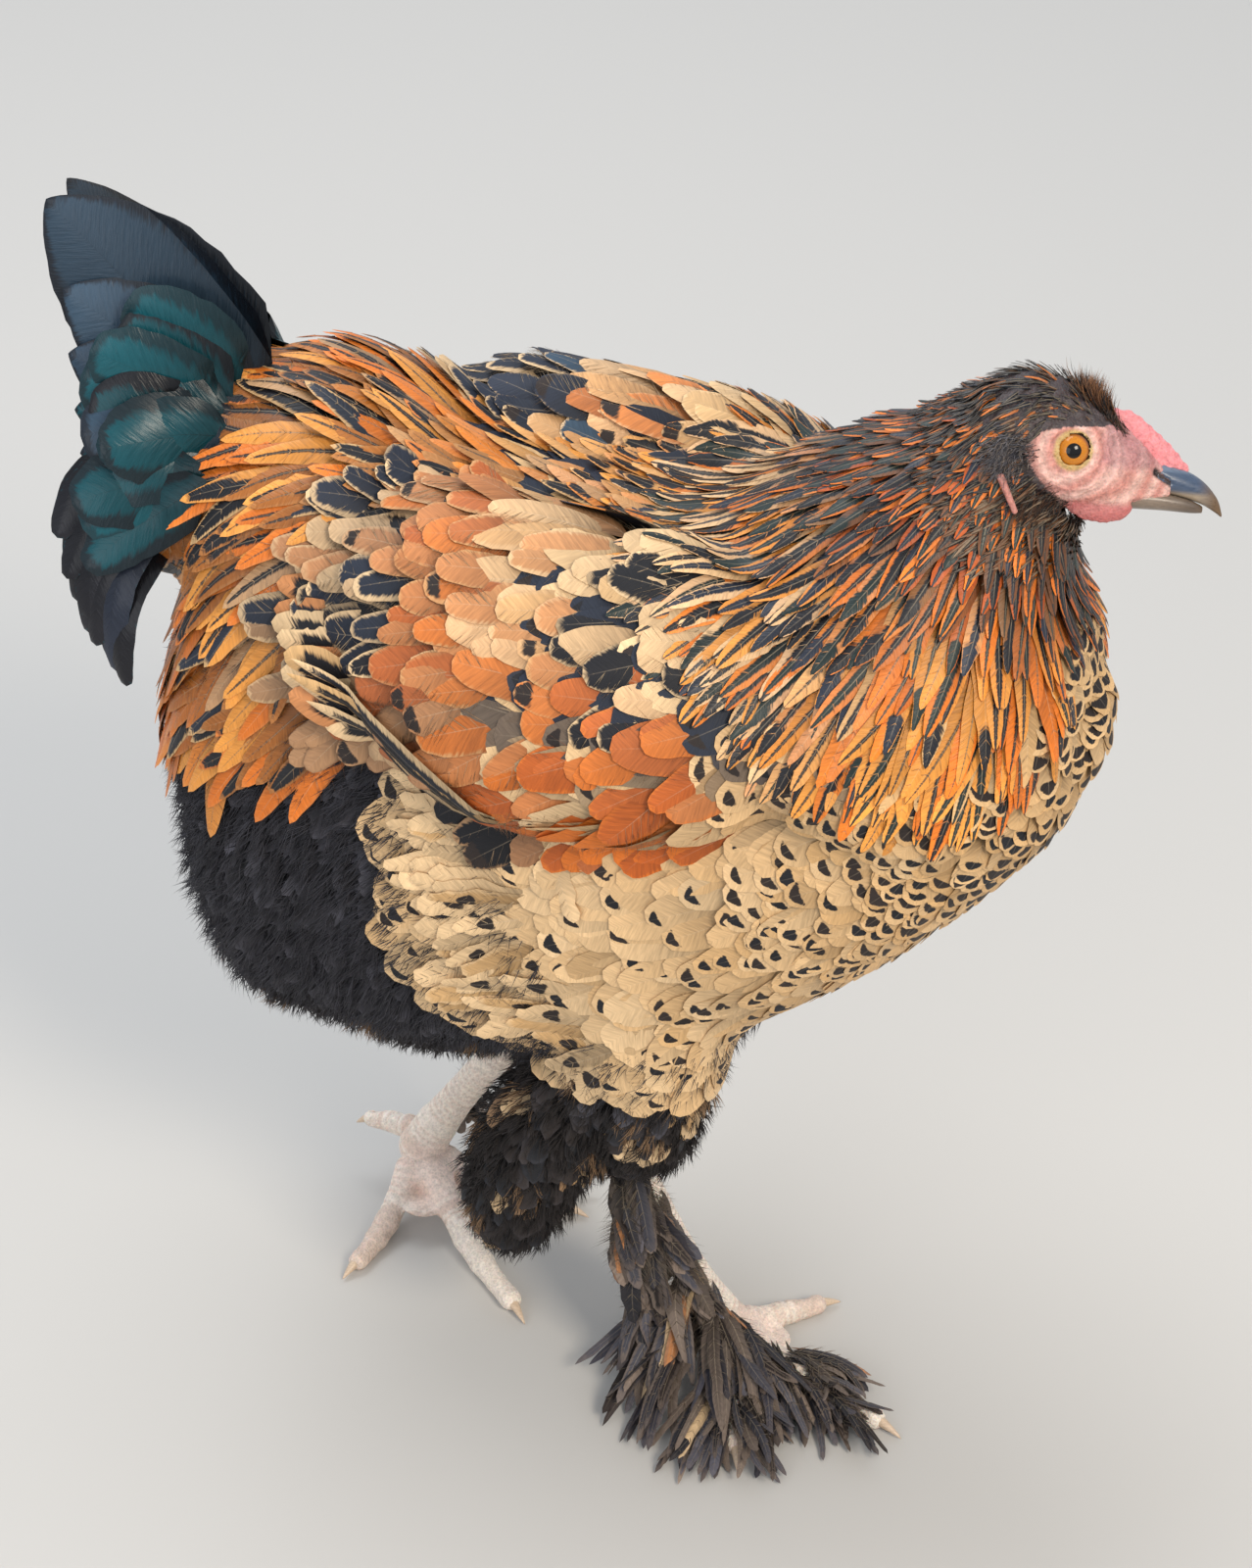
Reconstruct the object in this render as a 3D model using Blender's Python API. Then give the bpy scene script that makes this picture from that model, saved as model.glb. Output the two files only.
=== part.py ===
"""Brahma cockerel, life size, standing mid-step: a still model in separate closed pieces.

The bird faces +X, its left side is +Y and the floor is z = 0. Sizes in this script are centimetres
until a mesh is made. Rows of a body section are x, y, z of its middle, half width and half height.
"""
import math
import random

import bmesh
import bpy
import numpy as np
from mathutils import Matrix, Vector
from mathutils.bvhtree import BVHTree

CM = 0.01
SEED = 12
GAP = 0.03
SNUG = 0.02
FLOOR_SINK = 0.05
SIDES = {"right": 1, "left": -1}

FORWARD = (1.0, 0.0, 0.0)
BACKWARD = (-1.0, 0.0, 0.0)
UPWARD = (0.0, 0.0, 1.0)
FLOOR = (0.0, 0.0, 0.0)

# Trunk, and the thin cuts that part it: a point on the cut and the normal of the piece in front or above
BODY = (
    (-15.8, 0.0, 22.6, 1.8, 2.6),
    (-15.2, 0.0, 23.2, 4.4, 6.6),
    (-13.2, 0.0, 25.2, 6.8, 12.0),
    (-10.0, 0.0, 25.7, 7.8, 12.9),
    (-5.0, 0.0, 24.7, 8.3, 12.0),
    (0.0, 0.0, 25.4, 8.3, 10.5),
    (5.0, 0.0, 26.2, 8.1, 9.6),
    (9.5, 0.0, 27.7, 7.4, 7.9),
    (13.0, 0.0, 29.1, 6.0, 5.9),
    (15.5, 0.0, 29.8, 3.8, 3.6),
    (16.4, 0.0, 30.0, 1.5, 1.5),
)
BODY_SQUARE = 2.3
CHEST_CUT = ((-4.6, 0.0, 26.0), (1.0, 0.0, 0.12))
RUMP_CUT = ((-9.0, 0.0, 30.0), (-0.28, 0.0, 1.0))

# Neck, outside its hackle; the hackle starts on a core that is this much thinner
NECK = (
    (8.6, 0.0, 30.6, 8.0, 7.4),
    (9.4, 0.0, 33.0, 7.6, 6.8),
    (10.4, 0.0, 35.4, 6.0, 5.6),
    (11.4, 0.0, 37.4, 4.4, 4.3),
    (12.4, 0.0, 39.0, 3.2, 3.2),
    (13.0, 0.0, 40.2, 2.4, 2.4),
)
NECK_COAT = 0.9
HACKLE_SOURCE = (13.4, 0.0, 42.5)
# Rings of hackle: place along the neck, feathers round it, length, height over what it lies on
HACKLE_RINGS = (
    (0.30, 17, 5.6, 0.15),
    (0.50, 14, 6.0, 0.4),
    (0.70, 11, 5.6, 0.62),
    (0.88, 8, 4.6, 0.82),
)
# Width of the hackle where the neck meets the body, and how much of it is gone at the head
HACKLE_WIDTH = 2.64
HACKLE_TAPER = 1.08
# Hackle of the neck's sides, as a share of its ring's length; longer on the back and shorter at the throat
HACKLE_SHARE = 0.95
HACKLE_BACK = 0.12
HACKLE_THROAT = 0.3

# Core of the folded right wing and the direction from its lower edge to its upper one
WING = (
    (7.4, -6.3, 32.2, 0.5, 1.0),
    (6.0, -6.4, 32.4, 1.3, 3.0),
    (3.0, -6.5, 32.8, 1.8, 4.2),
    (-1.5, -6.4, 33.0, 1.9, 4.3),
    (-5.0, -6.0, 33.6, 1.4, 3.2),
    (-6.8, -5.8, 34.0, 0.8, 1.7),
    (-7.6, -5.7, 34.2, 0.3, 0.5),
)
WING_SLOPE = (0.0, 0.59, 0.81)
WING_COAT = 1.35
# The tips of the tiers higher than this lie down on the wing
SETTLED = 0.5
# Lift of one edge of a feather over the next of its row
SHINGLE = 0.12
# Tiers of wing feathers, each from its lowest feather to its highest: root and tip of the lowest, of the
# middle and of the highest, then count, width and height over what they lie on
WING_TIERS = (
    (((-1.0, -8.8, 29.6), (-8.4, -8.6, 31.6)), ((-1.0, -9.0, 30.2), (-8.9, -8.4, 32.2)),
     ((-1.0, -9.0, 30.8), (-9.2, -8.2, 32.8)), 2, 1.8, 0.14),
    (((0.0, -9.0, 30.0), (-7.4, -8.9, 30.8)), ((-1.2, -8.0, 34.0), (-9.7, -7.4, 34.6)),
     ((-1.5, -4.6, 36.0), (-8.0, -3.8, 36.6)), 5, 2.9, 0.4),
    (((3.0, -9.2, 29.4), (-2.6, -9.6, 28.9)), ((2.2, -8.4, 33.2), (-3.8, -8.8, 33.2)),
     ((1.4, -4.6, 36.0), (-4.2, -4.0, 36.8)), 6, 2.4, 0.66),
    (((5.8, -8.4, 30.2), (1.4, -9.4, 28.8)), ((5.4, -7.6, 33.2), (0.4, -8.9, 33.0)),
     ((3.2, -5.0, 35.9), (-0.8, -4.2, 36.9)), 5, 2.6, 0.9),
)

# Rows of saddle hackle: place along the back, degrees down each flank, feathers, length
SADDLE_ROWS = (
    (-10.8, 70, 8, 3.9),
    (-9.0, 60, 7, 4.8),
    (-7.2, 27, 5, 5.4),
    (-5.8, 16, 3, 5.0),
)
SADDLE_WIDTH = 2.2
SADDLE_COAT = 1.45
# Height of the rearmost row over what it lies on, and how much higher each next row is
SADDLE_HEIGHT = 0.16
SADDLE_STEP = 0.2
# Way of the saddle hackle: its spread and fall for each centimetre to the side, and its climb on the back
SADDLE_SPREAD = 0.03
SADDLE_FALL = 0.16
SADDLE_CLIMB = 0.3

TAIL = (
    (-12.2, 0.0, 33.8, 4.2, 3.0),
    (-14.0, 0.0, 34.6, 4.7, 3.5),
    (-15.6, 0.0, 36.2, 3.2, 2.6),
    (-16.6, 0.0, 38.0, 0.7, 0.7),
)
# Quill feathers of one side from the top down: length, climb in degrees, width
QUILLS = (
    (9.7, 47, 4.4),
    (8.1, 34, 4.3),
    (6.5, 19, 4.1),
    (5.6, 3, 3.9),
)
QUILL_ROOT = (-13.2, -0.9, 37.0)
QUILL_OUT = (0.15, -1.0, 0.3)
# From one quill's root to the next, from its middle to its bend, and how far the next tip is to the side
QUILL_STEP = (0.0, -0.4, -0.25)
QUILL_BEND = (0.0, -0.4, 0.3)
QUILL_SPREAD = 0.7
# Coverts of one side: root, bend, tip and width
COVERTS = (
    ((-14.9, -1.9, 37.2), (-16.4, -3.4, 39.0), (-18.8, -3.8, 39.4), 3.4),
    ((-15.0, -2.6, 36.4), (-16.8, -4.8, 37.8), (-18.4, -5.4, 36.8), 3.4),
    ((-15.0, -3.2, 35.6), (-17.0, -6.0, 36.2), (-17.6, -6.4, 33.8), 3.0),
    ((-14.9, -3.4, 34.6), (-16.8, -6.8, 34.6), (-16.2, -7.1, 31.0), 2.6),
    ((-14.7, -3.6, 33.6), (-16.0, -7.4, 33.0), (-14.8, -7.6, 29.0), 2.2),
)
COVERT_OUT = (-0.1, -1.0, 0.35)

THIGH = {
    "right": (
        (2.0, -4.0, 20.5, 3.2, 3.6),
        (2.0, -4.3, 17.5, 2.9, 3.3),
        (2.0, -4.4, 15.2, 2.6, 2.9),
        (2.1, -4.0, 12.6, 2.4, 2.2),
        (1.6, -3.2, 10.4, 1.8, 1.8),
        (1.0, -2.7, 9.0, 1.0, 1.0),
    ),
    "left": (
        (-0.6, 3.9, 19.5, 3.1, 3.8),
        (-2.0, 4.5, 15.5, 3.0, 3.0),
        (-3.2, 4.3, 13.0, 2.4, 2.3),
        (-4.2, 4.1, 11.2, 1.7, 1.7),
        (-4.8, 4.0, 10.2, 1.0, 1.0),
    ),
}
HOCK = {
    "right": (
        (0.2, -4.3, 15.0, 2.3, 2.5),
        (-1.4, -4.4, 12.0, 2.7, 2.7),
        (-2.6, -4.2, 8.6, 2.4, 2.4),
        (-3.0, -4.0, 6.0, 1.6, 1.6),
        (-3.1, -4.0, 5.0, 0.5, 0.5),
    ),
    "left": (
        (-3.0, 4.6, 14.5, 2.2, 2.4),
        (-4.8, 4.8, 12.4, 2.4, 2.4),
        (-5.8, 4.8, 9.9, 2.0, 2.0),
        (-6.1, 4.7, 8.3, 1.0, 1.1),
        (-6.1, 4.7, 7.6, 0.4, 0.4),
    ),
}
SHANK = {
    "right": (
        (0.7, -2.5, 9.3, 0.95, 0.9),
        (1.4, -2.3, 7.6, 0.8, 0.75),
        (2.6, -1.9, 4.8, 0.66, 0.68),
        (3.7, -1.6, 2.4, 0.75, 0.72),
        (4.4, -1.4, 1.1, 1.0, 0.85),
        (4.7, -1.3, 0.6, 0.7, 0.6),
    ),
    "left": (
        (-4.5, 4.0, 10.6, 0.95, 0.9),
        (-5.5, 3.9, 8.9, 0.8, 0.75),
        (-7.2, 3.7, 6.3, 0.66, 0.68),
        (-8.6, 3.4, 4.2, 0.75, 0.72),
        (-9.4, 3.1, 2.7, 1.0, 0.85),
        (-9.7, 3.0, 2.1, 0.6, 0.5),
    ),
}

# Each toe: its root, bend and end, then the point of its claw: x, y and the height of its underside
TOES = {
    "right": {
        "inner": ((5.1, -0.7, 0.1), (6.3, 0.4, 0.0), (7.3, 1.3, 0.0), (8.1, 2.0, 0.0)),
        "middle": ((5.4, -1.7, 0.1), (8.3, -2.9, 0.0), (11.0, -4.0, 0.0), (12.2, -4.5, 0.0)),
        "outer": ((4.8, -2.2, 0.1), (5.7, -4.7, 0.0), (6.5, -6.9, 0.0), (6.9, -8.0, 0.0)),
        "hind": ((3.6, -0.9, 0.4), (2.5, -0.1, 0.0), (1.7, 0.4, 0.0), (0.9, 0.8, 0.0)),
    },
    "left": {
        "inner": ((-9.7, 2.2, 1.4), (-10.1, -0.1, 0.0), (-10.4, -1.8, 0.0), (-10.7, -2.8, 0.0)),
        "middle": ((-8.8, 2.4, 1.4), (-6.2, -0.1, 0.0), (-4.0, -2.1, 0.0), (-3.1, -3.0, 0.0)),
        "outer": ((-8.6, 3.2, 1.4), (-5.8, 3.6, 0.0), (-3.8, 3.7, 0.0), (-2.7, 3.6, 0.0)),
        "hind": ((-10.2, 3.5, 2.5), (-11.1, 3.7, 2.5), (-11.9, 3.8, 2.4), (-12.6, 3.8, 2.2)),
    },
}
TOE_RADIUS = {"inner": 0.55, "middle": 0.6, "outer": 0.55, "hind": 0.48}
TOE_JOINTS = 3
TOE_SWELL = 0.08
TOE_TAPER = 0.35
CLAW_RADIUS = 0.24
CLAW_CLEAR = 0.08
CLAW_TAPER = 0.9

# Feathers of the thighs and hocks: place along them, first and last degrees round them, feathers and length
THIGH_LIE = (-0.15, 0.0, -1.0)
THIGH_WIDTH = 1.9
THIGH_HEIGHT = 0.45
HOCK_HEIGHT = 0.12
THIGH_FEATHERS = (0.35, 80, 185, 4, 4.6)
HOCK_FEATHERS = (0.4, 112, 295, 5, 5.0)

# Feathers of the legs and feet: node, root, bend, tip and width
FOOT_FEATHERS = (
    ("shank_right", (1.5, -2.4, 7.2), (0.8, -4.3, 6.8), (1.5, -4.1, 4.6), 1.7),
    ("shank_right", (1.8, -2.3, 6.4), (1.2, -4.2, 5.8), (2.0, -4.0, 3.4), 1.7),
    ("shank_right", (1.9, -2.3, 6.0), (2.0, -4.0, 5.6), (2.9, -3.9, 2.8), 1.6),
    ("shank_right", (2.6, -2.0, 4.6), (1.6, -3.8, 4.4), (1.7, -4.6, 1.6), 1.6),
    ("shank_right", (3.0, -1.9, 3.8), (3.2, -3.8, 3.8), (3.4, -5.0, 1.2), 1.6),
    ("shank_right", (3.4, -1.8, 2.8), (1.8, -3.0, 2.4), (0.8, -4.6, 0.5), 1.4),
    ("shank_right", (3.6, -1.8, 2.4), (2.4, -4.2, 2.2), (1.8, -6.3, 0.4), 1.4),
    ("shank_right", (3.8, -1.8, 2.0), (3.2, -4.6, 1.8), (3.2, -7.5, 0.4), 1.4),
    ("toe_right_outer", (5.2, -3.2, 0.6), (4.7, -5.4, 1.2), (4.6, -8.3, 0.3), 1.2),
    ("toe_right_outer", (5.6, -4.6, 0.5), (5.4, -6.6, 1.2), (5.7, -8.7, 0.3), 1.2),
    ("toe_right_outer", (5.9, -5.2, 0.5), (7.0, -6.6, 1.0), (7.9, -7.9, 0.3), 1.1),
    ("toe_right_outer", (5.5, -4.2, 0.5), (6.8, -5.2, 1.1), (7.7, -6.6, 0.3), 1.1),
    ("toe_right_middle", (6.6, -2.3, 0.7), (7.6, -3.9, 1.2), (8.6, -5.6, 0.3), 1.2),
    ("toe_right_middle", (7.6, -2.6, 0.6), (8.9, -4.0, 1.1), (9.8, -5.4, 0.3), 1.2),
    ("toe_right_middle", (8.6, -3.0, 0.6), (9.9, -4.0, 1.0), (10.9, -5.0, 0.3), 1.0),
    ("toe_right_middle", (7.2, -2.4, 0.8), (8.8, -2.4, 1.3), (10.2, -2.9, 0.4), 1.1),
    ("shank_left", (-5.6, 4.2, 8.8), (-5.9, 6.0, 8.2), (-6.9, 6.0, 5.8), 1.6),
    ("shank_left", (-6.6, 4.0, 7.2), (-7.0, 5.9, 6.6), (-8.0, 5.9, 4.2), 1.6),
    ("shank_left", (-7.8, 3.8, 5.4), (-7.8, 5.6, 5.0), (-8.6, 6.0, 2.6), 1.5),
    ("shank_left", (-8.8, 3.5, 3.8), (-8.6, 5.2, 3.4), (-8.6, 6.4, 1.2), 1.4),
    ("toe_left_outer", (-6.9, 3.5, 1.0), (-6.6, 4.9, 1.4), (-5.4, 6.2, 0.3), 1.2),
    ("toe_left_outer", (-5.8, 3.6, 0.6), (-5.0, 4.6, 1.1), (-3.6, 5.5, 0.3), 1.2),
)

FOOT_OUT = (0.3, -0.5, 1.0)

# Head in its own axes, set at the point midway between the eyes: turned left, dipped and tilted away
HEAD_AT = (14.7, 0.0, 40.4)
HEAD_TURN = 17.0
HEAD_DIP = 6.0
HEAD_TILT = 25.0
HEAD = (
    (-3.3, 0.0, -0.5, 0.7, 0.8),
    (-2.9, 0.0, -0.3, 1.6, 1.8),
    (-1.7, 0.0, 0.0, 2.0, 2.35),
    (-0.3, 0.0, 0.1, 1.75, 2.15),
    (1.0, 0.0, -0.2, 1.45, 1.7),
    (2.1, 0.0, -0.5, 1.0, 1.25),
    (2.75, 0.0, -0.75, 0.7, 0.9),
)
EYE_RADIUS = 0.62
EYE_SIDE = 1.22
LID_SIDE = 1.66
LID_RADIUS = 0.62
LID_ROLL = 0.14
EAR_AT = (-2.05, -1.75, -0.75)
EAR_RADIUS = 0.36
EAR_ROLL = 0.12
EAR_STRETCH = 1.25
EAR_HOLE = (0.22, 0.5, 0.29)
NOSTRIL_AT = (3.15, -0.52, -0.62)
NOSTRIL_SIZE = (0.22, 0.12, 0.07)
MOUTH = (
    (0.7, 0.0, -1.45, 2.0, 0.03),
    (2.0, 0.0, -1.28, 2.0, 0.04),
    (3.4, 0.0, -1.22, 2.0, 0.05),
)
BEAK_UPPER = (
    (2.4, 0.0, -0.65, 0.66, 0.62),
    (3.4, 0.0, -0.72, 0.56, 0.5),
    (4.4, 0.0, -1.0, 0.36, 0.38),
    (5.0, 0.0, -1.4, 0.18, 0.24),
    (5.25, 0.0, -1.75, 0.04, 0.05),
)
BEAK_LOWER = (
    (2.2, 0.0, -1.5, 0.55, 0.3),
    (3.3, 0.0, -1.52, 0.44, 0.24),
    (4.2, 0.0, -1.6, 0.26, 0.15),
    (4.6, 0.0, -1.68, 0.1, 0.06),
)
# Pea comb: three rows of small bulbs from the brow to the beak: side, height, girth and bulbs
COMB_LINE = ((0.9, 1.6), (1.7, 1.45), (2.7, 0.75), (3.7, -0.15))
COMB_ROWS = ((0.0, 0.22, 0.4, 5), (-0.42, 0.0, 0.26, 4), (0.42, 0.0, 0.26, 4))
# Depth of the dips between bulbs as a share of the girth, and where on a half circle a row starts to thin
COMB_DIP = 0.28
COMB_END = 0.12
WATTLE = (
    (0.3, -0.9, -1.75, 0.12, 0.2),
    (0.7, -0.95, -2.1, 0.28, 0.55),
    (1.2, -0.85, -2.15, 0.26, 0.5),
    (1.8, -0.7, -1.9, 0.2, 0.32),
    (2.2, -0.6, -1.7, 0.08, 0.1),
)

# Faces that meet at less than this angle, in degrees, are one flat face
FLAT_ANGLE = 1.5
# Corners nearer than this touch; a coat of feathers is drawn anew this many times at the most
TOUCH = 0.00005
TRIES = 20
VANE_THICK = 0.08
# Depth of a feather's root in its core
SINK = 0.4
# Droop of a free feather's edges, as a share of its half width
CUP = 0.12
# How much feathers differ: share of a length or width, degrees round a form, and a wing feather's tip
VARIETY = 0.1
STRAY_TURN = 4.0
STRAY_TIP = 0.3
# Step along a form, as a fraction of it, over which its direction is taken
STEP = 0.02
# Fractions of a feather's length where its width is set
LANCE_STATIONS = (0.0, 0.3, 0.72)
PADDLE_STATIONS = (0.0, 0.25, 0.62, 0.88)

COLOURS = {
    "head": (0.10, 0.06, 0.05), "comb": (0.75, 0.30, 0.30), "wattle": (0.80, 0.30, 0.32),
    "beak": (0.28, 0.30, 0.33), "eye": (0.75, 0.35, 0.04), "neck": (0.62, 0.28, 0.07),
    "torso": (0.74, 0.56, 0.36), "saddle": (0.60, 0.25, 0.06), "fluff": (0.045, 0.045, 0.055),
    "wing": (0.55, 0.33, 0.18), "tail": (0.02, 0.09, 0.11), "thigh": (0.06, 0.05, 0.045),
    "shank": (0.22, 0.19, 0.17), "toe": (0.80, 0.62, 0.54), "claw": (0.72, 0.60, 0.46),
}
ROUGHNESS = {"eye": 0.1, "beak": 0.3, "claw": 0.35, "tail": 0.35, "comb": 0.45, "wattle": 0.45}
PLAIN_ROUGHNESS = 0.6


def clear_scene():
    """Start from an empty scene"""
    for item in list(bpy.data.objects):
        bpy.data.objects.remove(item, do_unlink=True)


def material(kind):
    """The one Principled material of a kind of piece"""
    made = bpy.data.materials.get(kind)
    if made:
        return made
    made = bpy.data.materials.new(kind)
    made.use_nodes = True
    shader = made.node_tree.nodes["Principled BSDF"]
    shader.inputs["Base Color"].default_value = (*COLOURS[kind], 1.0)
    shader.inputs["Roughness"].default_value = ROUGHNESS.get(kind, PLAIN_ROUGHNESS)
    return made


def add_object(name, solid, kind, collection):
    """Object of a closed bmesh, in a collection, with the material of its kind"""
    mesh = to_mesh(solid)
    mesh.materials.append(material(kind))
    made = bpy.data.objects.new(name, mesh)
    collection.objects.link(made)
    return made


def to_mesh(solid):
    """Triangles of a bmesh, which is freed"""
    bmesh.ops.triangulate(solid, faces=solid.faces)
    mesh = bpy.data.meshes.new("solid")
    solid.to_mesh(mesh)
    solid.free()
    return mesh


def boolean(target, cutters, operation):
    """Boolean of an object with closed bmeshes, applied at once"""
    group = bpy.data.collections.new("cutters")
    bpy.context.scene.collection.children.link(group)
    for solid in cutters:
        cutter = bpy.data.objects.new("cutter", to_mesh(solid))
        cutter.hide_render = True
        cutter.display_type = "WIRE"
        group.objects.link(cutter)
    modifier = target.modifiers.new("cut", "BOOLEAN")
    modifier.operation = operation
    modifier.operand_type = "COLLECTION"
    modifier.collection = group
    modifier.solver = "MANIFOLD"
    graph = bpy.context.evaluated_depsgraph_get()
    target.data = bpy.data.meshes.new_from_object(target.evaluated_get(graph))
    target.modifiers.clear()
    for cutter in list(group.objects):
        bpy.data.objects.remove(cutter, do_unlink=True)
    bpy.data.collections.remove(group)
    keep_largest(target.data)


def keep_largest(mesh):
    """Drop every closed surface of a mesh but the one with the most corners"""
    solid = bmesh.new()
    solid.from_mesh(mesh)
    left = set(solid.verts)
    shells = []
    while left:
        front = [left.pop()]
        shell = list(front)
        while front:
            near = {vert for edge in front.pop().link_edges for vert in edge.verts} & left
            left -= near
            shell.extend(near)
            front.extend(near)
        shells.append(shell)
    shells.sort(key=len)
    scraps = [vert for shell in shells[:-1] for vert in shell]
    bmesh.ops.delete(solid, geom=scraps, context="VERTS")
    plain = solid.copy()
    limit = math.radians(FLAT_ANGLE)
    bmesh.ops.dissolve_limit(plain, angle_limit=limit, verts=plain.verts, edges=plain.edges)
    bmesh.ops.triangulate(plain, faces=plain.faces)
    if all(edge.is_manifold for edge in plain.edges):
        plain.to_mesh(mesh)
    else:
        bmesh.ops.triangulate(solid, faces=solid.faces)
        solid.to_mesh(mesh)
    plain.free()
    solid.free()


def sound(mesh):
    """Whether no two parts of a mesh only touch, at a corner or along an edge"""
    solid = bmesh.new()
    solid.from_mesh(mesh)
    bmesh.ops.remove_doubles(solid, verts=solid.verts, dist=TOUCH * CM)
    clear = all(part.is_manifold for part in solid.edges[:] + solid.verts[:])
    solid.free()
    return clear


def swollen(piece):
    """A finished piece, a little larger all round"""
    solid = bmesh.new()
    solid.from_mesh(piece.data)
    solid.normal_update()
    for vert, normal in [(vert, vert.normal.copy()) for vert in solid.verts]:
        vert.co += normal * SNUG * CM
    return solid


def feathered(target, feathers, cutters, draw, others=()):
    """Union with a coat of feathers, then cut; drawn anew until no two parts only touch or cross another piece"""
    core = target.data
    for _ in range(TRIES):
        target.data = core.copy()
        boolean(target, feathers(draw), "UNION")
        for solids in (cutters, [lambda other=other: swollen(other) for other in others]):
            if solids:
                boolean(target, [solid() for solid in solids], "DIFFERENCE")
        coat = bed_of(target.data)
        if sound(target.data) and not any(coat.overlap(bed_of(other.data)) for other in others):
            return


def rows_at(keys, places):
    """Rows at fractions 0 to 1 of a Catmull-Rom curve through the key rows"""
    keys = np.array(keys, float)
    padded = np.vstack([2 * keys[0] - keys[1], keys, 2 * keys[-1] - keys[-2]])
    place = np.asarray(places, float) * (len(keys) - 1)
    index = np.clip(place.astype(int), 0, len(keys) - 2)
    f = (place - index)[:, None]
    a, b, c, d = (padded[index + step] for step in range(4))
    return b + 0.5 * f * (c - a + f * (2 * a - 5 * b + 4 * c - d + f * (3 * (b - c) + d - a)))


def sections(keys, up, places, facing=None):
    """Middle, way, side, lift, half width and half height of the sections at some places along a form"""
    rows = rows_at(keys, places)
    ahead = rows_at(keys, np.clip(np.asarray(places) + STEP, 0, 1))[:, :3]
    behind = rows_at(keys, np.clip(np.asarray(places) - STEP, 0, 1))[:, :3]
    along = ahead - behind if facing is None else np.tile(np.array(facing, float), (len(rows), 1))
    along /= np.linalg.norm(along, axis=1)[:, None]
    side = np.cross(np.array(up, float), along)
    side /= np.linalg.norm(side, axis=1)[:, None]
    return rows[:, :3], along, side, np.cross(along, side), rows[:, 3], rows[:, 4]


def loft(keys, up, rings=16, sides=20, grow=0.0, square=2.0, facing=None):
    """Closed tube through superellipse sections, larger all round by the growth"""
    middle, along, side, lift, width, height = sections(keys, up, np.linspace(0, 1, rings), facing)
    turn = np.arange(sides) * 2 * math.pi / sides
    across = np.sign(np.cos(turn)) * np.abs(np.cos(turn)) ** (2 / square)
    upward = np.sign(np.sin(turn)) * np.abs(np.sin(turn)) ** (2 / square)
    middle[0] -= along[0] * grow
    middle[-1] += along[-1] * grow
    ring = (middle[:, None] + side[:, None] * np.outer(width + grow, across)[:, :, None]
            + lift[:, None] * np.outer(height + grow, upward)[:, :, None])
    solid = bmesh.new()
    verts = [[solid.verts.new(point * CM) for point in row] for row in ring]
    for lower, upper in zip(verts, verts[1:]):
        for i in range(sides):
            j = (i + 1) % sides
            solid.faces.new((lower[i], lower[j], upper[j], upper[i]))
    for row, point in ((verts[0], middle[0]), (verts[-1], middle[-1])):
        pole = solid.verts.new(point * CM)
        for i in range(sides):
            solid.faces.new((row[i], row[(i + 1) % sides], pole))
    bmesh.ops.recalc_face_normals(solid, faces=solid.faces)
    return solid


def rim_point(keys, up, place, degrees, facing=None, square=2.0):
    """Point on a form, at a place along it and a turn round it from its side towards its top"""
    middle, _, side, lift, width, height = (value[0] for value in sections(keys, up, [place], facing))
    across, upward = math.cos(math.radians(degrees)), math.sin(math.radians(degrees))
    across = math.copysign(abs(across) ** (2 / square), across)
    upward = math.copysign(abs(upward) ** (2 / square), upward)
    return Vector(middle + side * across * width + lift * upward * height)


def keep_side(solid, point, normal, gap=0.0):
    """Cut a closed bmesh by a plane, keep the side the normal points at and close the cut"""
    normal = Vector(normal).normalized()
    spot = (Vector(point) + normal * gap) * CM
    parts = solid.verts[:] + solid.edges[:] + solid.faces[:]
    bmesh.ops.bisect_plane(solid, geom=parts, plane_co=spot, plane_no=normal, clear_inner=True)
    rim = [edge for edge in solid.edges if edge.is_boundary]
    bmesh.ops.holes_fill(solid, edges=rim, sides=len(rim))
    bmesh.ops.recalc_face_normals(solid, faces=solid.faces)
    return solid


def mirrored(keys):
    """The same rows on the other side of the bird"""
    return tuple((row[0], -row[1], *row[2:]) for row in keys)


def handed(point, hand):
    """A point or direction of the right side, or its mirror image on the left side"""
    return Vector((point[0], point[1] * hand, point[2]))


def bed_of(mesh):
    """Surface that feathers are laid over, in centimetres"""
    points = [vert.co / CM for vert in mesh.vertices]
    return BVHTree.FromPolygons(points, [face.vertices[:] for face in mesh.polygons])


def beds_of(*solids):
    """The surfaces of some closed bmeshes, first the one that the feathers are rooted in"""
    return [bed_of(to_mesh(solid)) for solid in solids]


def nearest(beds, spot):
    """Nearest point of the surfaces and its normal"""
    hits = [bed.find_nearest(spot) for bed in beds]
    return min(hits, key=lambda hit: hit[3])[:2]


def raised(beds, spot, height):
    """The spot, moved out of every surface that it is less than a height above"""
    for bed in beds * 2:
        below, away = bed.find_nearest(spot)[:2]
        spot = spot + away * max(0.0, height - (spot - below).dot(away))
    return spot


def lance(t):
    """Width of a pointed feather at the fraction t of its length"""
    return (0.5 + 0.5 * math.sin(min(1.0, 2 * t) * math.pi / 2)) * (1.0 - max(0.0, 2 * t - 1.0) ** 1.7)


def paddle(t):
    """Width of a round-ended feather at the fraction t of its length"""
    return (0.5 + 0.5 * math.sin(min(1.0, 2 * t) * math.pi / 2)) * math.sqrt(1.0 - max(0.0, 2 * t - 1.0) ** 3)


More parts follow.
